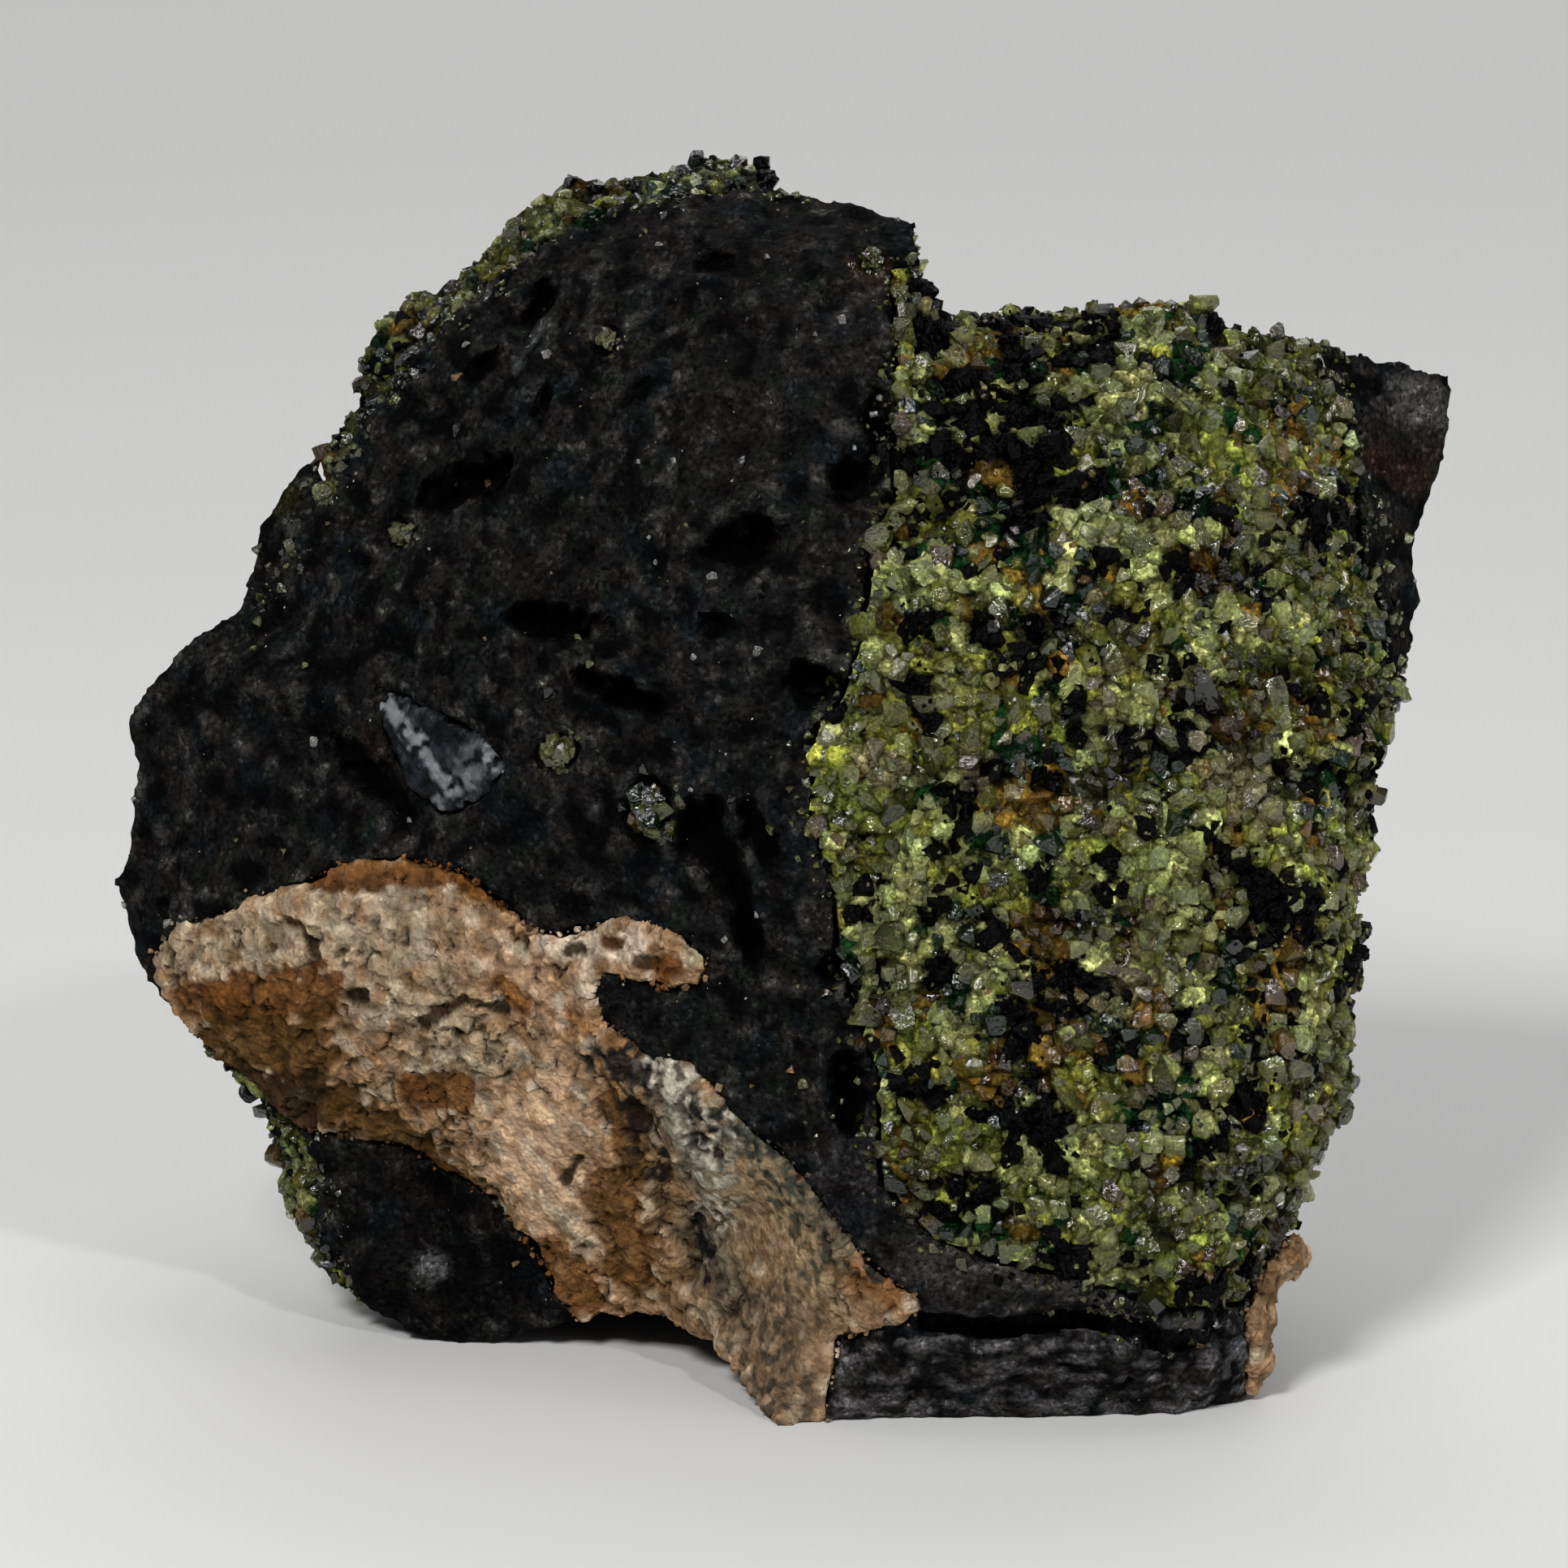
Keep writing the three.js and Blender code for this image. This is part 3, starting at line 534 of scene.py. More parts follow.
class ShaderGroups:
    """Effects that several materials share, each built once."""

    def __init__(self) -> None:
        """Builds the groups."""
        self.stone_grain = self.build_stone_grain()

    def build_stone_grain(self) -> bpy.types.NodeTree:
        """Builds the fine grain of a stone: a shade and a roughness that vary, and bumps.

        Returns:
            The group.
        """
        group = bpy.data.node_groups.new("stone_grain", "ShaderNodeTree")
        self.add_sockets(group)
        given = group.nodes.new("NodeGroupInput").outputs
        where = group.nodes.new("ShaderNodeTexCoord").outputs["Object"]
        pattern = {"Vector": where, "Scale": given["Grains per Metre"]}
        fine = {**pattern, "Detail": 5, "Roughness": 0.65}
        waves = add_node(group, "ShaderNodeTexNoise", fine).outputs["Fac"]
        grains = add_node(group, "ShaderNodeTexVoronoi", pattern).outputs
        bumps = {0: waves, 1: grains["Distance"]}
        wear = {0: self.spanned(group, waves, 0.75, 1.25), 1: given["Roughness"]}
        height = add_node(group, "ShaderNodeMath", bumps, "SUBTRACT")
        roughness = add_node(group, "ShaderNodeMath", wear, "MULTIPLY")
        result = group.nodes.new("NodeGroupOutput").inputs
        colour = self.grain_colour(group, given, waves, grains["Color"])
        group.links.new(colour, result["Colour"])
        group.links.new(height.outputs[0], result["Height"])
        group.links.new(roughness.outputs[0], result["Roughness"])
        return group

    @staticmethod
    def add_sockets(group: bpy.types.NodeTree) -> None:
        """Gives the grain's group its inputs and outputs.

        Args:
            group: The group.
        """
        sockets = group.interface
        for name, kind, default in (
            ("Tint", "NodeSocketColor", (0.5, 0.5, 0.5, 1)),
            ("Grains per Metre", "NodeSocketFloat", 2000),
            ("Contrast", "NodeSocketFloat", 0.5),
            ("Light Grains", "NodeSocketFloat", 0.1),
            ("Brightness", "NodeSocketFloat", 2),
            ("Roughness", "NodeSocketFloat", 0.5),
        ):
            made = sockets.new_socket(name, in_out="INPUT", socket_type=kind)
            made.default_value = default
        for name, kind in (
            ("Colour", "NodeSocketColor"),
            ("Height", "NodeSocketFloat"),
            ("Roughness", "NodeSocketFloat"),
        ):
            sockets.new_socket(name, in_out="OUTPUT", socket_type=kind)

    @staticmethod
    def spanned(
        group: bpy.types.NodeTree, waves: bpy.types.NodeSocket, low: Feed, high: Feed
    ) -> bpy.types.NodeSocket:
        """Stretches the noise's usual span to another one.

        Args:
            group: The group.
            waves: The noise.
            low: What its troughs become.
            high: What its crests become.

        Returns:
            The stretched noise.
        """
        spans = {"From Min": 0.3, "From Max": 0.7, "To Min": low, "To Max": high}
        return add_node(group, "ShaderNodeMapRange", {"Value": waves, **spans}).outputs["Result"]

    def grain_colour(
        self,
        group: bpy.types.NodeTree,
        given: bpy.types.NodeOutputs,
        waves: bpy.types.NodeSocket,
        marks: bpy.types.NodeSocket,
    ) -> bpy.types.NodeSocket:
        """Shades the tint with the noise, and makes some of the grains lighter.

        Args:
            group: The group.
            given: The group's inputs.
            waves: The noise.
            marks: A colour that differs from grain to grain.

        Returns:
            The colour.
        """
        contrast = {0: 1, 1: given["Contrast"]}
        less = add_node(group, "ShaderNodeMath", contrast, "SUBTRACT").outputs[0]
        more = add_node(group, "ShaderNodeMath", contrast, "ADD").outputs[0]
        shading = {0: given["Tint"], "Scale": self.spanned(group, waves, less, more)}
        shaded = add_node(group, "ShaderNodeVectorMath", shading, "SCALE").outputs[0]
        lifting = {0: shaded, "Scale": given["Brightness"]}
        lighter = add_node(group, "ShaderNodeVectorMath", lifting, "SCALE").outputs[0]
        apart = add_node(group, "ShaderNodeSeparateColor", {"Color": marks})
        picking = {0: apart.outputs["Red"], 1: given["Light Grains"]}
        picked = add_node(group, "ShaderNodeMath", picking, "LESS_THAN").outputs[0]
        blend = group.nodes.new("ShaderNodeMix")
        blend.data_type = "RGBA"
        group.links.new(picked, blend.inputs["Factor"])
        group.links.new(shaded, blend.inputs["A"])
        group.links.new(lighter, blend.inputs["B"])
        return blend.outputs["Result"]


def new_material(name: str, values: dict[str, Feed]) -> bpy.types.Material:
    """Makes a material and sets its shader's own sockets.

    Args:
        name: The material's name.
        values: The value of each socket.

    Returns:
        The material.
    """
    material = bpy.data.materials.new(name)
    material.use_nodes = True
    shader = material.node_tree.nodes["Principled BSDF"]
    for socket, value in values.items():
        shader.inputs[socket].default_value = value
    return material


@dataclass(frozen=True)
class Grainy:
    """How a stone's grain looks close to.

    Attributes:
        per_metre: How many grains there are along a metre.
        contrast: How much the shade varies.
        light_share: The share of grains that are lighter.
        light_factor: How much lighter they are.
        relief: The height of the bumps in millimetres.
    """

    per_metre: float
    contrast: float
    light_share: float
    light_factor: float
    relief: float

    def dress(self, material: bpy.types.Material, groups: ShaderGroups) -> None:
        """Gives a material the grain, over its piece's tint and its own roughness.

        Args:
            material: The material.
            groups: The shared effects.
        """
        nodes, links = material.node_tree.nodes, material.node_tree.links
        shader = nodes["Principled BSDF"]
        tint = nodes.new("ShaderNodeAttribute")
        tint.attribute_name = TINT
        grain = nodes.new("ShaderNodeGroup")
        grain.node_tree = groups.stone_grain
        grain.inputs["Grains per Metre"].default_value = self.per_metre
        grain.inputs["Contrast"].default_value = self.contrast
        grain.inputs["Light Grains"].default_value = self.light_share
        grain.inputs["Brightness"].default_value = self.light_factor
        grain.inputs["Roughness"].default_value = shader.inputs["Roughness"].default_value
        bump = nodes.new("ShaderNodeBump")
        bump.inputs["Strength"].default_value = 1
        bump.inputs["Distance"].default_value = self.relief * MM
        links.new(tint.outputs["Color"], grain.inputs["Tint"])
        links.new(grain.outputs["Colour"], shader.inputs["Base Color"])
        links.new(grain.outputs["Roughness"], shader.inputs["Roughness"])
        links.new(grain.outputs["Height"], bump.inputs["Height"])
        links.new(bump.outputs["Normal"], shader.inputs["Normal"])


@dataclass(frozen=True)
class StoneFinish:
    """An opaque stone, which takes its colour from its piece's own tint.

    Attributes:
        name: The material's name.
        roughness: How rough it is, from 0 to 1.
        gloss: How much it shines, where 0.5 is usual.
        grain: Its grain.
    """

    name: str
    roughness: float
    gloss: float
    grain: Grainy

    def build(self, groups: ShaderGroups) -> bpy.types.Material:
        """Makes the material.

        Args:
            groups: The shared effects.

        Returns:
            The material.
        """
        values = {"Roughness": self.roughness, "Specular IOR Level": self.gloss}
        material = new_material(self.name, values)
        self.grain.dress(material, groups)
        return material


@dataclass(frozen=True)
class CrystalFinish:
    """A see-through crystal, tinted by its piece and by what it absorbs.

    Attributes:
        name: The material's name.
        roughness: How rough it is, from 0 to 1.
        refraction: How much it bends light.
        gloss: How much it shines, where 0.5 is usual.
        clearness: The share of light that goes through it.
        absorbed: The colour that it lets through.
        absorption: How fast light fades in it, for each metre.
        grain: Its grain.
    """

    name: str
    roughness: float
    refraction: float
    gloss: float
    clearness: float
    absorbed: Colour
    absorption: float
    grain: Grainy

    def build(self, groups: ShaderGroups) -> bpy.types.Material:
        """Makes the material.

        Args:
            groups: The shared effects.

        Returns:
            The material.
        """
        values = {
            "Roughness": self.roughness,
            "IOR": self.refraction,
            "Specular IOR Level": self.gloss,
            "Transmission Weight": self.clearness,
        }
        material = new_material(self.name, values)
        tree = material.node_tree
        fading = {"Color": (*self.absorbed, 1), "Density": self.absorption}
        inside = add_node(tree, "ShaderNodeVolumeAbsorption", fading)
        tree.links.new(inside.outputs["Volume"], tree.nodes["Material Output"].inputs["Volume"])
        self.grain.dress(material, groups)
        return material


BASALT_FINISH = StoneFinish(
    name="basalt",
    roughness=0.85,
    gloss=0.03,
    grain=Grainy(per_metre=2900, contrast=1.0, light_share=0.12, light_factor=2.4, relief=0.34),
)
MATRIX_FINISH = StoneFinish(
    name="peridot_matrix",
    roughness=0.12,
    gloss=0.05,
    grain=Grainy(per_metre=3600, contrast=0.8, light_share=0.14, light_factor=2.2, relief=0.1),
)
LIME_FINISH = StoneFinish(
    name="lime",
    roughness=0.95,
    gloss=0.04,
    grain=Grainy(per_metre=2600, contrast=0.34, light_share=0.1, light_factor=1.4, relief=0.2),
)
FELDSPAR_FINISH = StoneFinish(
    name="feldspar",
    roughness=0.4,
    gloss=0.12,
    grain=Grainy(per_metre=1500, contrast=0.35, light_share=0.1, light_factor=1.6, relief=0.1),
)
SPINEL_FINISH = StoneFinish(
    name="spinel",
    roughness=0.1,
    gloss=0.05,
    grain=Grainy(per_metre=3000, contrast=0.5, light_share=0.05, light_factor=2, relief=0.14),
)
CLEAR_FINISH = CrystalFinish(
    name="peridot",
    roughness=0.035,
    refraction=1.67,
    gloss=0.56,
    clearness=0.8,
    absorbed=(0.72, 0.78, 0.46),
    absorption=240,
    grain=Grainy(per_metre=3400, contrast=0.6, light_share=0.12, light_factor=1.8, relief=0.055),
)
CLOUDY_FINISH = CrystalFinish(
    name="cloudy_peridot",
    roughness=0.05,
    refraction=1.67,
    gloss=0.46,
    clearness=0.55,
    absorbed=(0.7, 0.74, 0.48),
    absorption=200,
    grain=Grainy(per_metre=3800, contrast=0.7, light_share=0.16, light_factor=1.8, relief=0.055),
)


def crystal_finishes(groups: ShaderGroups) -> list[bpy.types.Material]:
    """Makes the materials that the kinds of crystal use, in the order of Coat."""
    return [finish.build(groups) for finish in (CLEAR_FINISH, CLOUDY_FINISH, SPINEL_FINISH)]


class Coat(Enum):
    """Which of the crystal materials a crystal has."""

    CLEAR = 0
    CLOUDY = 1
    BLACK = 2


class Grain(Enum):
    """The kinds of crystal in a nodule: the colour on a screen, the share and the coat of each."""

    PALE = ((178, 184, 112), 29, Coat.CLEAR)
    MILKY = ((146, 153, 94), 9, Coat.CLOUDY)
    OLIVE = ((143, 146, 60), 23, Coat.CLEAR)
    LIME = ((132, 141, 62), 6, Coat.CLEAR)
    GREY = ((112, 106, 72), 3, Coat.CLOUDY)
    AMBER = ((124, 98, 35), 7, Coat.CLEAR)
    DIOPSIDE = ((16, 50, 18), 9, Coat.CLEAR)
    BLACK = ((2, 2, 2), 15, Coat.BLACK)

    @property
    def colour(self) -> Colour:
        """The crystal's colour in linear light."""
        return from_screen(*self.value[0])

    @property
    def share(self) -> float:
        """How common the crystal is."""
        return self.value[1]

    @property
    def coat(self) -> Coat:
        """Which material the crystal has."""
        return self.value[2]


@dataclass(frozen=True)
class GrainCluster:
    """A spot in the view where one kind of crystal gathers, in millimetres.

    Attributes:
        kind: The kind of crystal.
        right: How far the spot is to the right.
        up: How far it is up.
        radius: Its radius.
    """

    kind: Grain
    right: float
    up: float
    radius: float


FRONT_SPOTS = {
    Grain.BLACK: (
        (10.0, 19.0, 2.4), (8.0, 19.2, 1.4), (9.6, 23.4, 1.8), (11.4, 21.2, 2.4),
        (14.0, 26.4, 1.4), (13.2, 19.6, 1.8), (16.0, 21.4, 2.0), (13.4, 22.4, 2.6),
        (12.4, 25.2, 2.0), (10.2, 28.2, 1.8), (16.4, 18.4, 1.6), (18.2, 18.0, 1.4),
        (19.2, 26.6, 1.6), (8.8, 3.8, 1.6), (24.0, 2.6, 2.0), (21.4, 2.8, 1.6),
        (14.6, -12.0, 2.2), (16.6, -11.2, 1.6), (15.0, -14.5, 1.8), (24.4, -15.0, 1.4),
        (16.5, -21.6, 2.2), (12.0, -23.6, 1.4), (29.6, -6.8, 1.6), (31.6, -7.4, 1.8),
        (24.8, -31.2, 2.4), (33.7, 17.3, 2.0), (33.2, 14.6, 1.4), (28.6, -20.4, 1.6),
    ),
    Grain.DIOPSIDE: (
        (23.0, 19.0, 1.6), (8.8, 23.0, 1.4), (13.0, 16.8, 1.6), (17.2, 12.6, 2.4),
        (12.5, -2.8, 1.8), (20.5, -15.5, 1.8), (27.2, -12.0, 1.4), (25.6, 26.4, 1.4),
    ),
    Grain.LIME: (
        (25.8, 21.2, 2.4), (29.8, 25.0, 2.2), (12.0, -11.4, 1.8), (26.4, -14.6, 2.0),
        (30.4, -2.6, 1.8), (26.0, -29.2, 2.0), (4.5, -1.5, 2.6), (32.5, 13.0, 2.2),
        (12.2, -22.0, 2.0),
    ),
    Grain.AMBER: (
        (25.4, 13.2, 2.2), (8.0, 3.2, 1.0), (12.3, -17.8, 2.0), (15.6, -16.8, 2.2),
        (17.6, -13.6, 1.8), (20.4, -25.1, 1.0), (17.5, -1.5, 2.8), (16.0, -9.8, 2.2),
        (32.0, 18.5, 1.4), (30.6, -13.6, 1.4),
    ),
    Grain.GREY: (
        (20.7, -13.2, 2.0), (28.0, 0.0, 2.2), (12.5, 0.5, 2.4), (21.5, -8.8, 1.8),
    ),
    Grain.PALE: (
        (6.5, -7.0, 3.0), (22.0, 14.0, 2.8), (7.0, 12.0, 3.0), (24.0, -6.0, 3.0),
        (22.6, 24.0, 2.6),
    ),
}
FRONT_CLUSTERS = tuple(
    GrainCluster(kind, *spot) for kind, spots in FRONT_SPOTS.items() for spot in spots
)


@dataclass(frozen=True)
class CrystalShape:
    """The shape of one crystal, about as wide as 2.

    Attributes:
        corners: Rows of x, y and z.
        faces: The corners round each face.
    """

    corners: np.ndarray
    faces: tuple[tuple[int, ...], ...]

    @classmethod
    def cut(cls, luck: random.Random, cuts: int) -> "CrystalShape":
        """Cuts flat faces on a block.

        Args:
            luck: A stream of random numbers.
            cuts: How many faces are cut.

        Returns:
            The shape.
        """
        # the cube reaches 0.8 to each side of its middle, and each cut is nearer than that
        lump = bmesh.new()
        bmesh.ops.create_cube(lump, size=1.6)
        stretch = (1, luck.uniform(0.72, 1), luck.uniform(0.6, 0.92))
        bmesh.ops.scale(lump, vec=stretch, verts=lump.verts)
        for _ in range(cuts):
            facing = Vector([luck.gauss(0, 1) for _ in range(3)]).normalized()
            made = bmesh.ops.bisect_plane(
                lump,
                geom=[*lump.verts, *lump.edges, *lump.faces],
                plane_co=facing * luck.uniform(0.4, 0.75),
                plane_no=facing,
                clear_outer=True,
            )
            rim = [item for item in made["geom_cut"] if isinstance(item, bmesh.types.BMEdge)]
            bmesh.ops.edgeloop_fill(lump, edges=rim)
        bmesh.ops.remove_doubles(lump, verts=lump.verts, dist=0.04)
        bmesh.ops.recalc_face_normals(lump, faces=lump.faces)
        lump.verts.index_update()
        corners = np.array([vertex.co[:] for vertex in lump.verts])
        faces = tuple(tuple(vertex.index for vertex in face.verts) for face in lump.faces)
        lump.free()
        return cls(corners, faces)


@dataclass(frozen=True)
class GrainSize:
    """One size of crystal.

    Attributes:
        smallest: The smallest radius in millimetres.
        largest: The largest radius in millimetres.
        cuts: How many flat faces are cut on each crystal.
        tries: How many places are tried on a nodule.
        closeness: 1 where crystals only touch, less where they grow into each other.
    """

    smallest: float
    largest: float
    cuts: int
    tries: int = 0
    closeness: float = 1.0

    def chance(self, share: float) -> float:
        """Gives the radius that lies a share of the way from the smallest to the largest."""
        return self.smallest + share * (self.largest - self.smallest)


LARGE = GrainSize(smallest=0.7, largest=1.25, cuts=12, tries=9000, closeness=0.6)
MEDIUM = GrainSize(smallest=0.36, largest=0.62, cuts=7, tries=13000, closeness=0.58)
CHIPS = GrainSize(smallest=0.08, largest=0.2, cuts=1, tries=4600)
CRUMBS = GrainSize(smallest=0.05, largest=0.3, cuts=4)
SPECKS = GrainSize(smallest=0.06, largest=0.46, cuts=4)
SHAPES_PER_SIZE = 14
CLUSTER_EDGE = 1.1  # how far a cluster reaches, in its radii
GROUND_STREAM = 90  # added to a nodule's seed for the random numbers of its ground mass
CHIP_STREAM = 50  # added to a nodule's seed for the random numbers of its chips


@dataclass
class CrystalHeap:
    """Many small crystals joined in one mesh, each with its own tint.

    Attributes:
        seed: Where its random numbers start.
        luck: Its own stream of random numbers.
        shapes: The shapes that were cut for each size.
        corners: The corners of each crystal.
        faces: The corners round each face.
        tints: The colours at the corners of each crystal.
        coats: The number of the material of each face.
        count: How many corners there are.
    """

    seed: int
    luck: random.Random = field(init=False)
    shapes: dict[GrainSize, list[CrystalShape]] = field(default_factory=dict)
    corners: list[np.ndarray] = field(default_factory=list)
    faces: list[tuple[int, ...]] = field(default_factory=list)
    tints: list[np.ndarray] = field(default_factory=list)
    coats: list[int] = field(default_factory=list)
    count: int = 0

    def __post_init__(self) -> None:
        """Starts the heap's own stream of random numbers."""
        self.luck = random.Random(self.seed)

    def shape(self, size: GrainSize) -> CrystalShape:
        """Picks one of the shapes of a size, and cuts them first where there are none.

        Args:
            size: The size.

        Returns:
            The shape.
        """
        if size not in self.shapes:
            cutter = random.Random(size.cuts)
            self.shapes[size] = [
                CrystalShape.cut(cutter, size.cuts) for _ in range(SHAPES_PER_SIZE)
            ]
        return self.luck.choice(self.shapes[size])

    def add(
        self,
        place: Vector,
        radius: float,
        size: GrainSize,
        tint: Colour,
        coat: Coat = Coat.CLEAR,
        outward: Vector | None = None,
    ) -> None:
        """Adds a crystal.

        Args:
            place: Its middle in metres.
            radius: Its radius in metres.
            size: Which shapes it can have.
            tint: Its colour.
            coat: Which material it has.
            outward: Which way its tip faces, if its foot is to get painted shade.
        """
        shape = self.shape(size)
        turn = Euler([self.luck.uniform(0, 6.3) for _ in range(3)]).to_matrix()
        corners = shape.corners @ np.array(turn).T
        # each corner has its own shade at random, and below, painted shade makes the foot darker
        # than the tip
        light = np.array([self.luck.uniform(0.6, 1.35) for _ in corners])
        if outward is not None:
            light *= np.clip(0.66 + 0.85 * corners @ np.array(outward), 0.06, 1.4)
        corners = corners * radius + np.array(place)
        corners[:, 2] = np.maximum(corners[:, 2], LOWEST_CORNER * MM)
        self.corners.append(corners)
        first = self.count
        self.faces.extend(tuple(first + corner for corner in face) for face in shape.faces)
        self.coats.extend([coat.value] * len(shape.faces))
        self.tints.append(light[:, None] * np.array(tint))
        self.count += len(corners)

    def tree(self) -> BVHTree:
        """Makes a search tree of the crystals so far."""
        return BVHTree.FromPolygons(np.concatenate(self.corners).tolist(), self.faces)

    def finish(
        self, name: str, node: str | None, slot: str, materials: list[bpy.types.Material]
    ) -> bpy.types.Object:
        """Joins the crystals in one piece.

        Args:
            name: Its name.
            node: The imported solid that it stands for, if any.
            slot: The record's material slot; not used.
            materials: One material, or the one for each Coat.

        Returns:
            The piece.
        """
        mesh = bpy.data.meshes.new(name)
        mesh.from_pydata(np.concatenate(self.corners).tolist(), [], self.faces)
        for material in materials:
            mesh.materials.append(material)
        if len(materials) > 1:
            mesh.polygons.foreach_set("material_index", self.coats)
        mesh.update()
        piece = new_piece(name, mesh, node)
        paint(piece, np.concatenate(self.tints))
        return piece


class Spread:
    """Keeps crystals from sitting in the same place."""

    def __init__(self, largest: float) -> None:
        """Starts an empty spread.

        Args:
            largest: The largest radius in metres.
        """
        self.cell = largest * 2
        self.taken: dict[tuple[int, int, int], list[tuple[Vector, float]]] = {}

    def key(self, place: Vector) -> tuple[int, int, int]:
        """Gives the cell that holds a place."""
        return tuple(math.floor(value / self.cell) for value in place)

    def has_room(self, place: Vector, radius: float, closeness: float) -> bool:
        """Tells whether a crystal fits at a place.

        Args:
            place: Its middle.
            radius: Its radius.
            closeness: 1 for crystals that only touch, less for ones that grow into each other.

        Returns:
            Whether it fits.
        """
        x, y, z = self.key(place)
        for dx in (-1, 0, 1):
            for dy in (-1, 0, 1):
                for dz in (-1, 0, 1):
                    for other, size in self.taken.get((x + dx, y + dy, z + dz), ()):
                        if (other - place).length < (size + radius) * closeness:
                            return False
        return True

    def take(self, place: Vector, radius: float) -> None:
        """Marks a place as taken."""
        self.taken.setdefault(self.key(place), []).append((place, radius))


@dataclass(frozen=True)
class OpenGround:
    """The faces of a piece that lie in the open.

    Attributes:
        middles: Rows of x, y and z of their middles, in metres.
        normals: Rows with the ways they face.
    """

    middles: np.ndarray
    normals: np.ndarray

    @classmethod
    def of(cls, mesh: bpy.types.Mesh, cover: BVHTree) -> "OpenGround":
        """Finds the faces of a mesh that nothing hides.

        Args:
            mesh: The piece's mesh.
            cover: What can hide a face.

        Returns:
            The open ground.
        """
        count = len(mesh.polygons)
        middles, normals = np.empty(count * 3), np.empty(count * 3)
        mesh.polygons.foreach_get("center", middles)
        mesh.polygons.foreach_get("normal", normals)
        middles, normals = middles.reshape(-1, 3), normals.reshape(-1, 3)
        keep = in_the_open(middles, normals, cover) > 0.5
        return cls(middles[keep], normals[keep])


def in_the_open(places: np.ndarray, normals: np.ndarray, cover: BVHTree) -> np.ndarray:
    """Finds the places that nothing hides.

    Args:
        places: Rows of x, y and z.
        normals: The way each place faces.
        cover: What can hide it.

    Returns:
        1 for each place in the open, 0 for the others.
    """
    found = np.ones(len(places))
    for i, (place, normal) in enumerate(zip(places.tolist(), normals.tolist())):
        ray = Vector(normal)
        start = Vector(place) - ray * RAY_START * MM
        if cover.ray_cast(start, ray, RAY_LENGTH * MM)[0] is not None:
            found[i] = 0
    return found


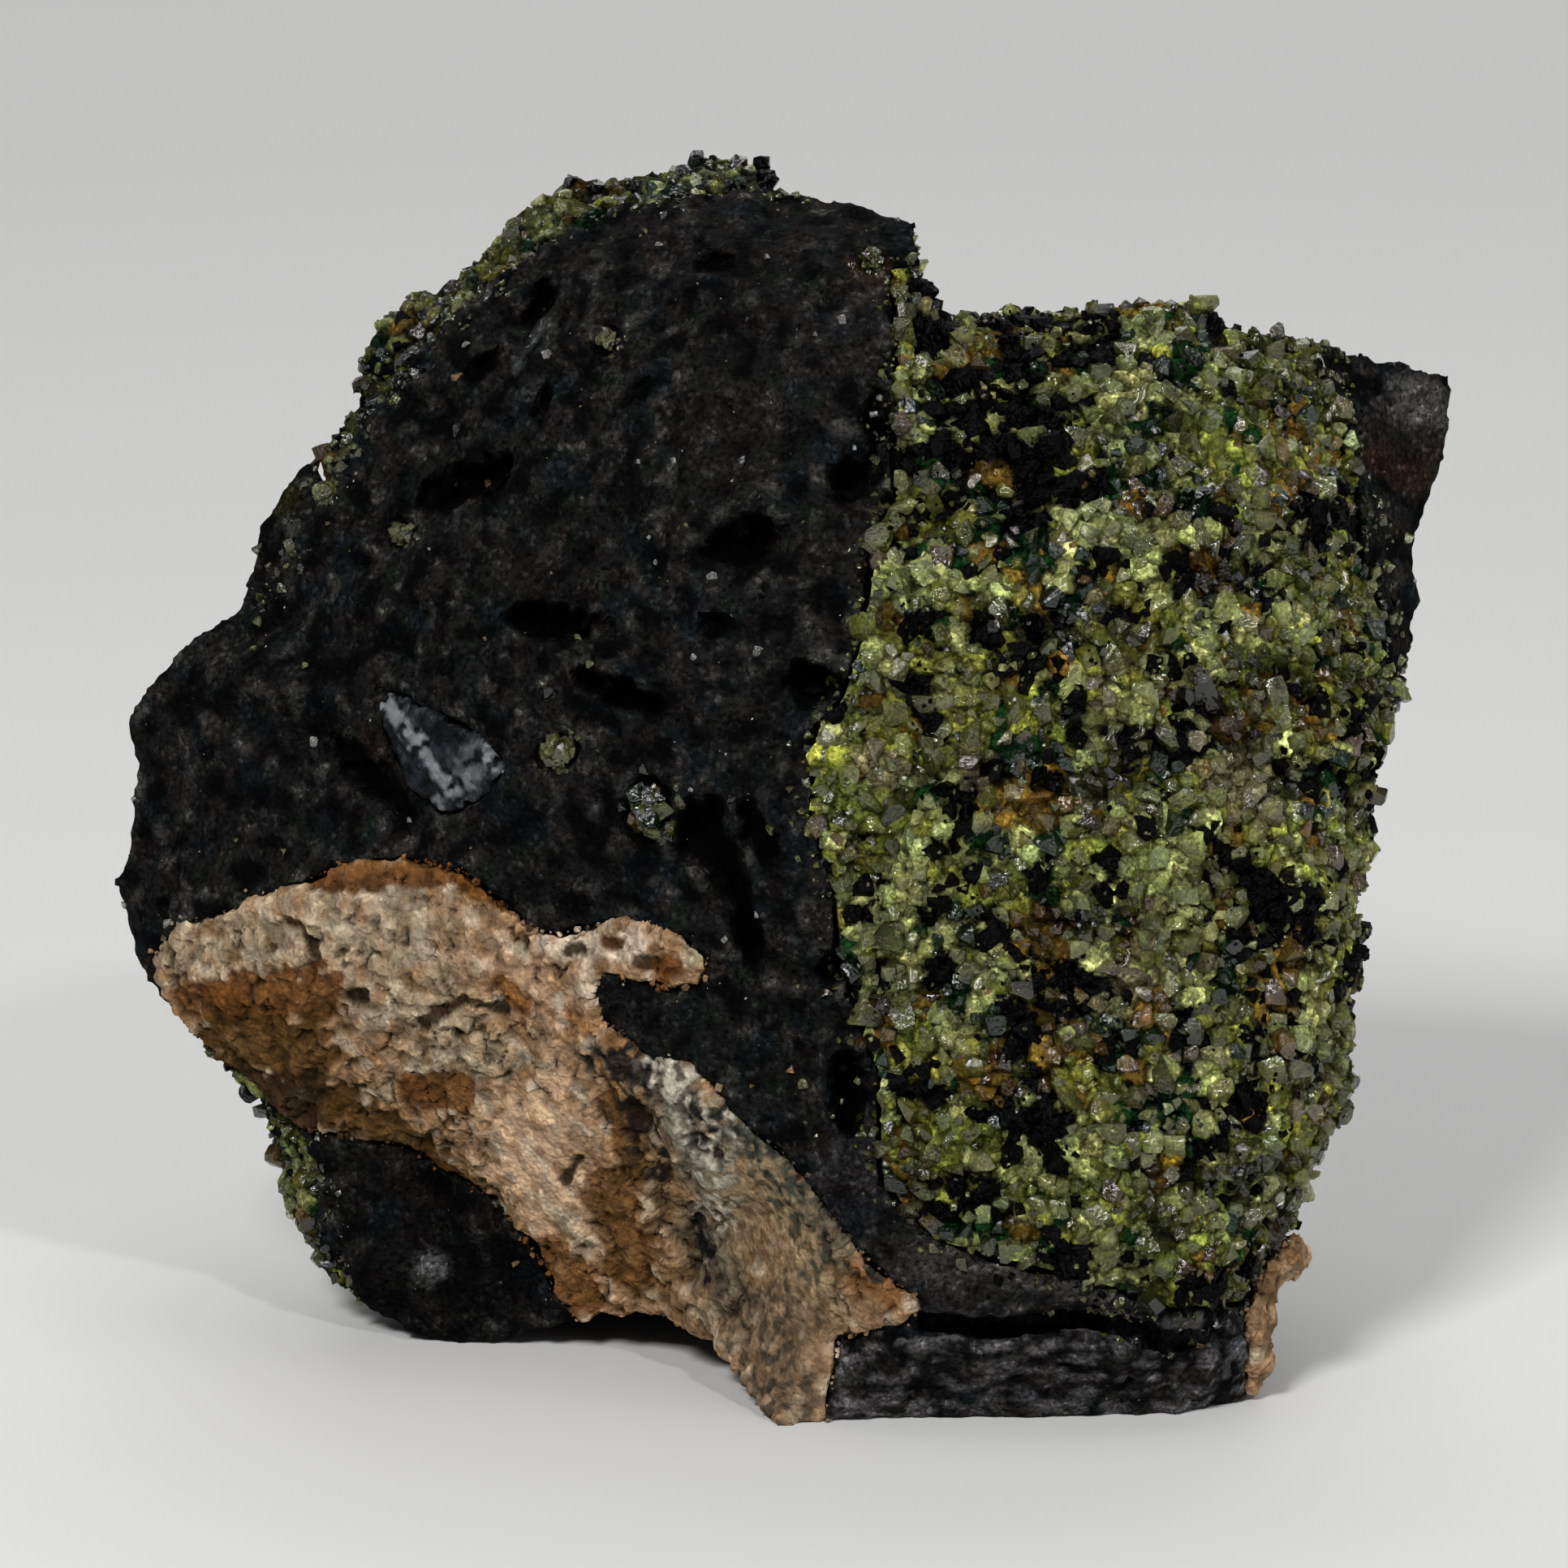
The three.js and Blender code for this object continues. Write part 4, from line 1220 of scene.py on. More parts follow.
@dataclass
class Nodule:
    """A nodule of grown-together peridot crystals. Its lengths are in millimetres.

    Attributes:
        node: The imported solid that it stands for.
        groups: The shared effects.
        clusters: The spots where one kind of crystal gathers.
        voxel: The size of the ground mass's faces.
        sunk: How deep the ground mass is sunk away from the basalt.
        level_edge: How far from the basalt that depth is reached.
        mosaic: The size of the ground mass's cells.
        strewn: How far the fringe of small crystals reaches over the basalt.
        fringe_radii: The radii of its crystals.
        fringe_shade: How bright they are beside the others.
        tongue: How far apart the fringe's tongues are.
        seed: Where its random numbers start.
        share_of_tries: The share of a size's tries that it gets.
        coarseness: How large its crystals are beside their usual size.
        deepest: How deep a crystal's middle may lie, in radii above the ground mass.
        highest: How high it may lie.
        domain: The size of a domain, in which crystals are mostly of one kind.
        purity: The chance that a crystal is of its domain's kind.
        chip_purity: The same for a chip.
        gathering: How far apart the places are where a kind is common.
        gathering_strength: How much more common it is there.
        cluster_pull: How much more common a cluster makes its kind.
        brightness: How bright the crystals are.
        cloudiness: The share of clear crystals that are cloudy here.
        favoured: How much more common some kinds are.
        drop: How high above the ground mass the chips are dropped from.
        domains: The kind and the brightness of each domain met so far.
    """

    node: str
    groups: ShaderGroups
    clusters: tuple[GrainCluster, ...] = ()
    voxel: float = 0.32
    sunk: float = 0.6
    level_edge: float = 1.6
    mosaic: float = 1.3
    strewn: float = 2.2
    fringe_radii: tuple[float, ...] = (0.15, 0.22, 0.34, 0.5)
    fringe_shade: float = 0.6
    tongue: float = 6.0
    seed: int = 7
    share_of_tries: float = 1.0
    coarseness: float = 1.0
    deepest: float = -0.5
    highest: float = 0.0
    domain: float = 2.3
    purity: float = 0.58
    chip_purity: float = 0.96
    gathering: float = 4.5
    gathering_strength: float = 2.2
    cluster_pull: float = 400
    brightness: float = 0.86
    cloudiness: float = 0.0
    favoured: dict[Grain, float] = field(default_factory=dict)
    drop: float = 3.0
    domains: dict[tuple[float, ...], tuple[Grain, float]] = field(default_factory=dict)

    def build(self, cover: BVHTree, bed: bpy.types.Object) -> list[bpy.types.Object]:
        """Builds the ground mass and the crystals on it.

        Args:
            cover: The stones that hide part of the nodule.
            bed: The basalt round it, which some crystals stick to.

        Returns:
            The pieces.
        """
        mesh = fine_copy(self.node, self.voxel, cover)
        places, normals = vertex_places(mesh), vertex_normals(mesh)
        cells = Cells.at(places, self.mosaic, 3.0)
        # lumps and hollows, a slanting face on each cell, and grooves between the cells
        rise = self.relief(places) + cells.facets() * 0.4 + np.clip(cells.edge, 0, 0.3) * 0.9
        sunk = self.sunk * self.from_bed(places, bed)
        rise = (rise - sunk) * in_the_open(places, normals, cover)
        move_vertices(mesh, places + normals * (rise * MM)[:, None])
        matrix = new_piece(f"{self.node}_matrix", mesh, self.node)
        # painted shade: the ground mass is darker than the crystals on it, darkest in the grooves
        # between its cells; the marks vary it at random from cell to cell
        light = np.clip(cells.edge * 3.5, 0.1, 0.75) * (0.4 + 0.9 * cells.mark)
        paint(matrix, self.ground_tints(cells) * light[:, None])
        matrix.data.materials.append(MATRIX_FINISH.build(self.groups))
        return [matrix, *self.crystals(matrix, cover, bed)]

    def from_bed(self, places: np.ndarray, bed: bpy.types.Object) -> np.ndarray:
        """Finds how far places are from the basalt.

        Args:
            places: Rows of x, y and z.
            bed: The basalt.

        Returns:
            0 at the basalt, rising to 1 where the level edge ends.
        """
        tree = mesh_tree(bed.data)
        reach = self.level_edge * MM
        found = [tree.find_nearest(Vector(row), reach)[3] for row in places.tolist()]
        return np.array([1 if away is None else away / reach for away in found])

    def ground_tints(self, cells: Cells) -> np.ndarray:
        """Gives each cell of the ground mass the colour of one kind of crystal.

        Args:
            cells: The cells.

        Returns:
            Rows of red, green and blue.
        """
        luck = random.Random(self.seed + GROUND_STREAM)
        known: dict[tuple[float, ...], Colour] = {}
        rows = []
        for middle in cells.middles.tolist():
            key = tuple(middle)
            if key not in known:
                known[key] = self.kind(luck, Vector(middle))[0]
            rows.append(known[key])
        return np.array(rows)

    def relief(self, places: np.ndarray) -> np.ndarray:
        """Gives the nodule's lumps and hollows, in millimetres, at rows of places."""
        return 0.55 * noise_at(places, 4.2, self.seed) + 0.4 * noise_at(places, 1.9, self.seed)

    def crystals(
        self, matrix: bpy.types.Object, cover: BVHTree, bed: bpy.types.Object
    ) -> list[bpy.types.Object]:
        """Sets crystals of two sizes into the ground mass, with a fringe and chips.

        Args:
            matrix: The ground mass.
            cover: The stones that hide part of the nodule.
            bed: The basalt round it.

        Returns:
            Two pieces, one of crystals and one of chips.
        """
        ground = OpenGround.of(matrix.data, cover)
        heap = CrystalHeap(self.seed)
        large, medium = Spread(LARGE.largest * MM), Spread(MEDIUM.largest * MM)
        self.fill(heap, ground, LARGE, large, None)
        self.fill(heap, ground, MEDIUM, medium, large)
        self.strew(heap, matrix, bed)
        log.info("%s: %d crystals", self.node, len(heap.corners))
        grown = heap.tree()
        chips = CrystalHeap(self.seed + CHIP_STREAM)
        self.sprinkle(chips, ground, grown)
        finishes = crystal_finishes(self.groups)
        return [
            heap.finish(f"{self.node}_crystals", None, "peridot", finishes),
            chips.finish(f"{self.node}_chips", None, "peridot", finishes),
        ]

    def fill(
        self,
        heap: CrystalHeap,
        ground: OpenGround,
        size: GrainSize,
        spread: Spread,
        larger: Spread | None,
    ) -> None:
        """Sets crystals of one size close together.

        Args:
            heap: The heap that gets them.
            ground: Where they can sit.
            size: Their size.
            spread: Where crystals of this size are.
            larger: Where larger crystals are, if any.
        """
        luck = heap.luck
        for _ in range(int(size.tries * self.share_of_tries)):
            i = luck.randrange(len(ground.middles))
            radius = luck.uniform(size.smallest, size.largest) * self.coarseness * MM
            middle = Vector(ground.middles[i])
            normal = Vector(ground.normals[i])
            place = middle + normal * radius * luck.uniform(self.deepest, self.highest)
            if not spread.has_room(place, radius, size.closeness):
                continue
            if larger and not larger.has_room(place, radius, size.closeness):
                continue
            spread.take(place, radius)
            # the normal as the tip's way gives each crystal painted shade at its foot
            heap.add(place, radius, size, *self.kind(luck, place), normal)

    def strew(self, heap: CrystalHeap, matrix: bpy.types.Object, bed: bpy.types.Object) -> None:
        """Sticks a thinning fringe of small crystals to the basalt round the nodule.

        Args:
            heap: The heap that gets them.
            matrix: The ground mass.
            bed: The basalt.
        """
        luck = heap.luck
        nodule = mesh_tree(matrix.data)
        ground = OpenGround.of(bed.data, nodule)
        spread = Spread(LARGE.largest * MM)
        for middle, normal in zip(ground.middles.tolist(), ground.normals.tolist()):
            place = Vector(middle)
            unseen = 1 - max(0.0, Vector(normal).dot(VIEW.towards_viewer))
            tongue = max(0.0, noise.noise(place / (self.tongue * MM)) + 0.05) * unseen
            reach = self.strewn * (1 + 4 * tongue) * MM
            found = nodule.find_nearest(place, reach)
            if found[0] is None or luck.random() > (0.5 + tongue) * (1 - found[3] / reach) ** 2:
                continue
            radius = luck.choice(self.fringe_radii) * luck.uniform(0.7, 1.1) * MM
            if spread.has_room(place, radius, LARGE.closeness):
                spread.take(place, radius)
                tint, coat = self.kind(luck, place)
                tint = tuple(value * self.fringe_shade for value in tint)
                # the normal as the tip's way gives each crystal painted shade at its foot
                heap.add(place, radius, MEDIUM, tint, coat, Vector(normal))

    def sprinkle(self, chips: CrystalHeap, ground: OpenGround, grown: BVHTree) -> None:
        """Drops chips on the crystals and between them.

        Args:
            chips: The heap that gets them.
            ground: Where the crystals stand.
            grown: The crystals.
        """
        luck = chips.luck
        for _ in range(int(CHIPS.tries * self.share_of_tries)):
            i = luck.randrange(len(ground.middles))
            normal = Vector(ground.normals[i])
            above = Vector(ground.middles[i]) + normal * self.drop * MM
            hit = grown.ray_cast(above, -normal, (self.drop + 1) * MM)[0]
            radius = CHIPS.chance(luck.random() ** 1.5) * MM
            place = hit if hit is not None else Vector(ground.middles[i])
            chips.add(place, radius, CHIPS, *self.kind(luck, place, self.chip_purity))

    def kind(
        self, luck: random.Random, place: Vector, purity: float | None = None
    ) -> tuple[Colour, Coat]:
        """Picks a crystal's kind from where it is, and its own shade of that kind.

        Args:
            luck: The stream of random numbers.
            place: The crystal's middle.
            purity: The chance that it is of the same kind as its neighbours.

        Returns:
            Its colour and which material it has.
        """
        _, centres = noise.voronoi(place / (self.domain * MM))
        middle = centres[0]
        key = middle[:]
        if key not in self.domains:
            shares = self.shares(middle * self.domain * MM)
            kind = luck.choices(list(shares), list(shares.values()))[0]
            self.domains[key] = (kind, luck.uniform(0.7, 1.3))
        kind, level = self.domains[key]
        if luck.random() > (self.purity if purity is None else purity):
            shares = self.shares(place)
            kind = luck.choices(list(shares), list(shares.values()))[0]
        # painted shade and light: crystals in the ground mass's hollows are darker, those on its
        # lumps lighter
        hollow = float(self.relief(np.array([place[:]]))[0])
        shade = level * luck.uniform(0.6, 1.4) * min(1.35, max(0.08, 0.95 + 2 * hollow))
        shade *= self.brightness
        tint = tuple(min(1, value * shade * luck.uniform(0.93, 1.07)) for value in kind.colour)
        clouded = kind.coat is Coat.CLEAR and luck.random() < self.cloudiness
        return tint, Coat.CLOUDY if clouded else kind.coat

    def shares(self, place: Vector) -> dict[Grain, float]:
        """Works out how common each kind of crystal is at a place.

        Args:
            place: The place.

        Returns:
            The share of each kind.
        """
        right, up = VIEW.seen(np.array([place[:]]))[0]
        shares = {kind: float(kind.share) for kind in Grain}
        for i, kind in enumerate(Grain):
            shift = Vector((i * 7.3, self.seed, 0))
            plenty = noise.noise(place / (self.gathering * MM) + shift)
            shares[kind] *= math.exp(self.gathering_strength * plenty)
        for kind, factor in self.favoured.items():
            shares[kind] *= factor
        for cluster in self.clusters:
            away = math.hypot(right - cluster.right, up - cluster.up) / cluster.radius
            if away < CLUSTER_EDGE:
                shares[cluster.kind] += self.cluster_pull * (CLUSTER_EDGE - away)
        return shares


@dataclass(frozen=True)
class Bubble:
    """A gas bubble's mouth in the front of the basalt, in millimetres of the view.

    Attributes:
        right: How far its middle is to the right.
        up: How far its middle is up.
        length: Half its length.
        width: Half its width.
        turn: How far it is turned, in degrees.
        darkness: How deep it is and how dark its painted shade is, from 0 to 1.
    """

    right: float
    up: float
    length: float
    width: float
    turn: float
    darkness: float = 1.0

    def depth(self, seen: np.ndarray, ragged: np.ndarray) -> np.ndarray:
        """How far each place lies into the bubble.

        Args:
            seen: Rows of right and up.
            ragged: A number for each place that makes the mouth uneven.

        Returns:
            0 outside the mouth, up to 1 in its middle.
        """
        angle = math.radians(self.turn)
        across, over = seen[:, 0] - self.right, seen[:, 1] - self.up
        along = across * math.cos(angle) + over * math.sin(angle)
        aside = over * math.cos(angle) - across * math.sin(angle)
        away = (along / self.length) ** 2 + (aside / self.width) ** 2
        return np.clip(1.1 - away + ragged, 0, 1) * self.darkness


BUBBLES_AND_SHADOW_DENT = (
    Bubble(-19.3, 18.7, 3.3, 1.2, 20),
    Bubble(-2.3, 15.2, 2.6, 1.4, 17),
    Bubble(-14.5, 10.2, 3.1, 1.2, -10),
    Bubble(-10.5, 5.8, 2.5, 0.9, -20),
    Bubble(-1.8, -2.7, 2.0, 0.8, -62),
    Bubble(-5.2, -2.8, 1.9, 1.7, -50),
    Bubble(-3.7, -5.2, 2.8, 1.2, -60),
    Bubble(-2.2, -9.2, 2.4, 0.8, -75),
    Bubble(3.9, -19.3, 2.7, 1.1, 88),
    Bubble(1.9, 6.4, 1.6, 1.4, 0),
    Bubble(-15.1, 29.7, 1.7, 0.7, 62, 0.8),
    Bubble(-18.3, 25.9, 1.4, 0.7, 42, 0.5),
    Bubble(-4.3, 32.1, 1.0, 0.8, 12, 0.6),
    Bubble(-14.8, 23.5, 1.4, 0.7, 80, 0.4),
    Bubble(-9.0, 24.0, 1.3, 0.7, 40, 0.3),
    Bubble(3.0, -11.4, 1.0, 0.8, 30, 0.6),
    Bubble(-4.3, 9.8, 1.0, 0.7, 10, 0.4),
    Bubble(5.8, 21.6, 4.0, 0.9, 88, 0.8),
    Bubble(4.0, 18.6, 1.9, 1.2, 0, 0.7),
    # not a bubble: a shallow dent with painted shadow along the feldspar's left side
    Bubble(-25.6, 0.6, 4.4, 1.0, -39, 0.5),
)


@dataclass(frozen=True)
class Mottle:
    """Blotches of one colour, strewn all over a stone.

    Attributes:
        colour: Their colour.
        size: How far apart they are, in millimetres.
        seed: Which pattern they make.
        gain: How steeply they rise at their edges.
        spread: How wide they are.
        most: How well they cover in their middles, from 0 to 1.
    """

    colour: Colour
    size: float
    seed: float
    gain: float
    spread: float
    most: float

    def over(self, shade: np.ndarray, places: np.ndarray) -> np.ndarray:
        """Lays the blotches over a stone's colours.

        Args:
            shade: Rows of red, green and blue.
            places: Rows of x, y and z.

        Returns:
            The new rows of colours.
        """
        weight = blotches(places, self.size, self.seed, self.gain, self.spread, self.most)
        return mix(shade, self.colour, weight)


SPECK_KINDS = {
    from_screen(150, 150, 146): 5,
    from_screen(104, 104, 60): 3,
    from_screen(120, 90, 50): 1,
    from_screen(14, 14, 14): 4,
}


@dataclass
class Basalt:
    """The dark lava that holds everything, with its bubbles and small pale grains.

    Attributes:
        groups: The shared effects.
        voxel: The size of its faces in millimetres.
        speck_count: How many small grains are strewn in it.
        speck_seed: Where their random numbers start.
        bubble_depth: How deep the bubbles are, in millimetres.
        band_top: How high the streaked band at the foot reaches in the view, in millimetres.
        hollow_rounds: How often it is evened out to find its hollows.
        ground: Its colour under the blotches.
        level: How bright it is in all.
        mottles: Its blotches, the lowest first.
        patches: Its larger patches of colour.
    """

    groups: ShaderGroups
    voxel: float = 0.4
    speck_count: int = 800
    speck_seed: int = 19
    bubble_depth: float = 1.6
    band_top: float = -32.0
    hollow_rounds: int = 14
    ground: Colour = from_screen(34, 36, 34)
    level: float = 0.45
    mottles: tuple[Mottle, ...] = (
        Mottle(from_screen(27, 34, 38), size=3.2, seed=11, gain=2.4, spread=0, most=0.9),
        Mottle(from_screen(49, 43, 40), size=1.9, seed=21, gain=2.4, spread=0, most=0.7),
        Mottle(from_screen(34, 42, 30), size=1.5, seed=23, gain=2, spread=-0.5, most=0.6),
        Mottle(from_screen(80, 78, 74), size=1.4, seed=31, gain=2.6, spread=-0.5, most=0.8),
        Mottle(from_screen(5, 6, 7), size=1.7, seed=25, gain=3, spread=-0.1, most=0.9),
        Mottle(from_screen(7, 8, 9), size=0.8, seed=27, gain=3, spread=-0.5, most=0.8),
    )
    patches: tuple[Patch, ...] = (
        Patch(38.6, 23.8, 1.5, from_screen(120, 117, 114), 0.8, (0.8, -0.8)),
        Patch(36.6, 21.8, 1.4, from_screen(60, 54, 51), 0.8),
        Patch(36.4, 20.2, 0.8, from_screen(70, 50, 38), 0.8, (2.6, -1.6)),
        Patch(39.8, 20.4, 1.2, from_screen(58, 46, 40), 0.6),
        # painted shade over the lump at the lower left
        Patch(-20.5, -28.5, 7.0, from_screen(14, 14, 13), 0.8),
        Patch(-21.8, -29.7, 0.9, from_screen(118, 120, 118), 0.9),
        Patch(28.1, -34.9, 0.7, from_screen(130, 132, 136), 0.9),
        Patch(15.0, -37.8, 0.6, from_screen(110, 112, 114), 0.9),
        Patch(-14.8, 28.5, 0.3, from_screen(96, 99, 99), 1.0, (-1.7, -2.8)),
        Patch(-8.0, 33.0, 1.2, from_screen(58, 50, 46), 0.6),
        Patch(3.6, 26.8, 1.6, from_screen(56, 52, 50), 0.6),
        Patch(5.2, 31.8, 1.0, from_screen(84, 60, 22), 0.7),
        Patch(-30.8, 17.8, 0.9, from_screen(62, 56, 26), 0.6),
        Patch(-25.6, 2.5, 1.6, from_screen(50, 40, 34), 0.6),
        Patch(-16.0, 13.6, 2.2, from_screen(46, 40, 36), 0.5),
        Patch(-4.0, 21.6, 3.4, from_screen(50, 46, 42), 0.6),
        Patch(5.0, -24.0, 2.4, from_screen(52, 50, 54), 0.5),
        Patch(8.0, -29.4, 1.5, from_screen(78, 74, 70), 0.8, (17.0, -1.4)),
    )

    def build(self, cover: BVHTree) -> list[bpy.types.Object]:
        """Builds the basalt and the grains that sit in it.

        Args:
            cover: The stones that hide part of it.

        Returns:
            The two pieces.
        """
        mesh = fine_copy("basalt", self.voxel, cover)
        places, normals = vertex_places(mesh), vertex_normals(mesh)
        hollow = hollowness(mesh, self.hollow_rounds)
        # warped cells give uneven pits
        warped = places + noise_at(places, 1.5, 83)[:, None] * 0.6 * MM
        cells = Cells.at(warped, 2.2)
        height = 0.3 * noise_at(places, 4) + 0.2 * noise_at(places, 1.8, 4)
        height += 0.24 * noise_at(places, 0.8, 6) - 0.6 * cells.pits(0.5, 0.1, 0.34)
        inside = self.bubbles(places, normals)
        moved = places + normals * (height * MM * (1 - inside))[:, None]
        moved -= np.array(VIEW.towards_viewer) * (inside * self.bubble_depth * MM)[:, None]
        move_vertices(mesh, moved)
        piece = new_piece("basalt_surface", mesh, "basalt")
        # painted shade and light: darker in the hollows, lighter on the bumps, and nearly black
        # inside the bubbles, partly their own dark lining
        light = np.clip(1 - hollow * 1.6, 0.25, 1.3) * (1 - 0.95 * np.sqrt(inside))
        paint(piece, self.tints(places) * self.level * light[:, None])
        piece.data.materials.append(BASALT_FINISH.build(self.groups))
        return [piece, self.specks(piece)]

    @staticmethod
    def bubbles(places: np.ndarray, normals: np.ndarray) -> np.ndarray:
        """Finds how deep each vertex lies in a bubble or the dent of painted shadow.

        Args:
            places: Rows of x, y and z.
            normals: The way each place faces.

        Returns:
            0 outside the bubbles, up to 1 in their middles.
        """
        seen = VIEW.seen(places)
        ragged = 1.1 * noise_at(places, 1.7, 15) + 0.8 * noise_at(places, 0.8, 16)
        inside = np.zeros(len(places))
        for bubble in BUBBLES_AND_SHADOW_DENT:
            inside = np.maximum(inside, bubble.depth(seen, ragged))
        inside = np.clip(inside * 1.8, 0, 1)
        return inside * (normals @ np.array(VIEW.towards_viewer) > 0)

    def tints(self, places: np.ndarray) -> np.ndarray:
        """Works out the basalt's colour at each vertex.

        Args:
            places: Rows of x, y and z.

        Returns:
            Rows of red, green and blue.
        """
        seen = VIEW.seen(places)
        shade = self.ground * np.ones((len(places), 1))
        for mottle in self.mottles:
            shade = mottle.over(shade, places)
        ragged = 0.6 * noise_at(places, 0.9, 41)
        band = np.clip((self.band_top - seen[:, 1]) / 1.5, 0, 1) * (seen[:, 0] > 2)
        flattened = places * np.array([0.6, 1, 1.3])
        streaks = blotches(flattened, 0.9, 45, 2.8)
        shade = mix(shade, from_screen(116, 114, 114), band * streaks * 0.85)
        broken = 1 - 0.7 * blotches(places, 0.8, 47, 3)
        for patch in self.patches:
            shade = mix(shade, patch.colour, patch.weight(seen, ragged) * broken)
        return shade

    def specks(self, surface: bpy.types.Object) -> bpy.types.Object:
        """Sets tiny grains into the basalt, most of them pale, green or black.

        Args:
            surface: The basalt.

        Returns:
            The joined grains.
        """
        heap = CrystalHeap(self.speck_seed)
        luck = heap.luck
        faces = surface.data.polygons
        for _ in range(self.speck_count):
            face = faces[luck.randrange(len(faces))]
            radius = SPECKS.chance(luck.random() ** 5) * MM
            tint = luck.choices(list(SPECK_KINDS), list(SPECK_KINDS.values()))[0]
            heap.add(face.center.copy(), radius, SPECKS, tint)
        return heap.finish("basalt_specks", None, "feldspar", [CLOUDY_FINISH.build(self.groups)])


RUST = from_screen(94, 59, 25)
OCHRE = from_screen(80, 56, 26)
UMBER = from_screen(46, 32, 16)
CREAM = from_screen(148, 130, 106)
TAN = from_screen(150, 122, 94)
GREY = from_screen(96, 92, 80)
SLATE = from_screen(22, 25, 26)
CHALK = from_screen(174, 168, 150)

RUSTY_PATCHES = (
    Patch(-28.6, -5.8, 0.8, RUST, 1.0, (9.6, 0.2)),
    Patch(-20.0, -5.9, 0.5, RUST, 1.0, (3.8, -2.2)),
    Patch(-30.4, -8.3, 0.35, RUST, 0.9, (0.6, -0.3)),
    Patch(-36.6, -13.2, 1.2, RUST, 0.9, (2.6, -0.2)),
    Patch(-33.6, -13.2, 1.7, RUST, 1.0, (4.8, 0.2)),
    Patch(-34.2, -15.9, 1.9, OCHRE, 1.0, (5.6, -0.4)),
    Patch(-33.4, -18.4, 1.5, UMBER, 1.0, (5.6, -1.6)),
    Patch(-26.8, -20.2, 1.4, OCHRE, 1.0, (5.0, -2.4)),
    Patch(-22.4, -18.6, 1.2, RUST, 1.0, (2.6, -0.2)),
    Patch(-20.6, -24.2, 1.0, from_screen(92, 62, 28), 1.0, (3.8, -3.2)),
    Patch(-17.2, -12.4, 0.7, from_screen(124, 82, 42), 0.9, (1.2, -1.4)),
    Patch(-26.4, -12.9, 0.5, from_screen(38, 34, 20), 1.0, (0.6, 0)),
    Patch(-22.2, -14.6, 0.5, UMBER, 0.9, (2.6, 1.4)),
    Patch(-19.6, -13.1, 0.4, UMBER, 0.9, (2.4, -0.8)),
    Patch(-29.4, -8.9, 0.3, UMBER, 0.8, (0.8, -1.6)),
    Patch(-20.0, -15.2, 0.35, UMBER, 0.9),
    Patch(-28.7, -18.3, 0.8, UMBER, 0.9),
    Patch(-10.7, -19.4, 0.7, from_screen(96, 66, 32), 0.9, (1.6, -4.8)),
    Patch(-10.7, -25.0, 1.5, from_screen(98, 68, 34), 1.0, (1.8, -4.8)),
    Patch(-16.6, -27.8, 1.3, from_screen(108, 74, 38), 1.0, (4.6, -3.4)),
    Patch(-12.4, -22.8, 0.35, UMBER, 0.8, (-0.8, -1.4)),
    Patch(-13.2, -10.2, 0.4, UMBER, 0.9, (0.7, 0.1)),
    Patch(-10.9, -9.6, 0.4, RUST, 0.9, (0.5, -0.3)),
    Patch(-8.8, -10.9, 0.5, UMBER, 0.9, (0.8, -0.2)),
    Patch(-7.2, -11.4, 0.9, from_screen(96, 58, 20)),
    Patch(4.0, -30.2, 1.0, from_screen(132, 92, 56), 0.9, (2.6, -1.4)),
    Patch(0.8, -24.0, 0.4, from_screen(96, 38, 20)),
    Patch(-10.9, -16.8, 0.55, SLATE, 0.9, (2.2, -1.2)),
    Patch(-9.5, -19.9, 0.8, from_screen(28, 22, 16), 0.95, (0.6, -1.2)),
    Patch(-5.0, -21.6, 0.45, SLATE, 0.9, (0.9, -1.2)),
    Patch(-5.2, -26.9, 0.4, SLATE, 0.9, (0.7, -1.8)),
)

CREAM_PATCHES = (
    Patch(-37.4, -9.6, 3.0, CREAM, 1.0, (12.0, 1.0)),
    Patch(-25.0, -9.6, 3.4, CREAM, 1.0, (5.5, -6.5)),
    Patch(-17.5, -11.5, 2.4, TAN, 1.0, (5.5, -4.0)),
    Patch(-15.0, -21.4, 3.0, from_screen(192, 162, 130), 1.0, (1.0, -3.4)),
    Patch(-13.0, -14.6, 0.8, from_screen(132, 94, 58), 0.9, (5.0, -2.2)),
    Patch(-14.6, -9.8, 0.9, from_screen(190, 172, 152), 1.0, (5.4, -0.4)),
    Patch(-12.0, -11.8, 0.6, from_screen(180, 164, 144), 1.0, (0.2, -1.2)),
    Patch(-7.4, -17.4, 1.4, GREY, 1.0, (4.4, -9.4)),
    Patch(-5.2, -27.0, 1.5, from_screen(92, 84, 68), 1.0, (2.4, -5.0)),
    Patch(-2.4, -20.8, 1.6, from_screen(98, 90, 74), 1.0, (5.6, -7.2)),
    Patch(-1.2, -26.6, 2.2, from_screen(118, 92, 66), 0.9, (3.6, -4.6)),
    Patch(-0.6, -33.2, 2.6, from_screen(116, 96, 76), 0.9, (0.4, -5.4)),
    Patch(-5.6, -10.6, 0.5, from_screen(156, 150, 118)),
)

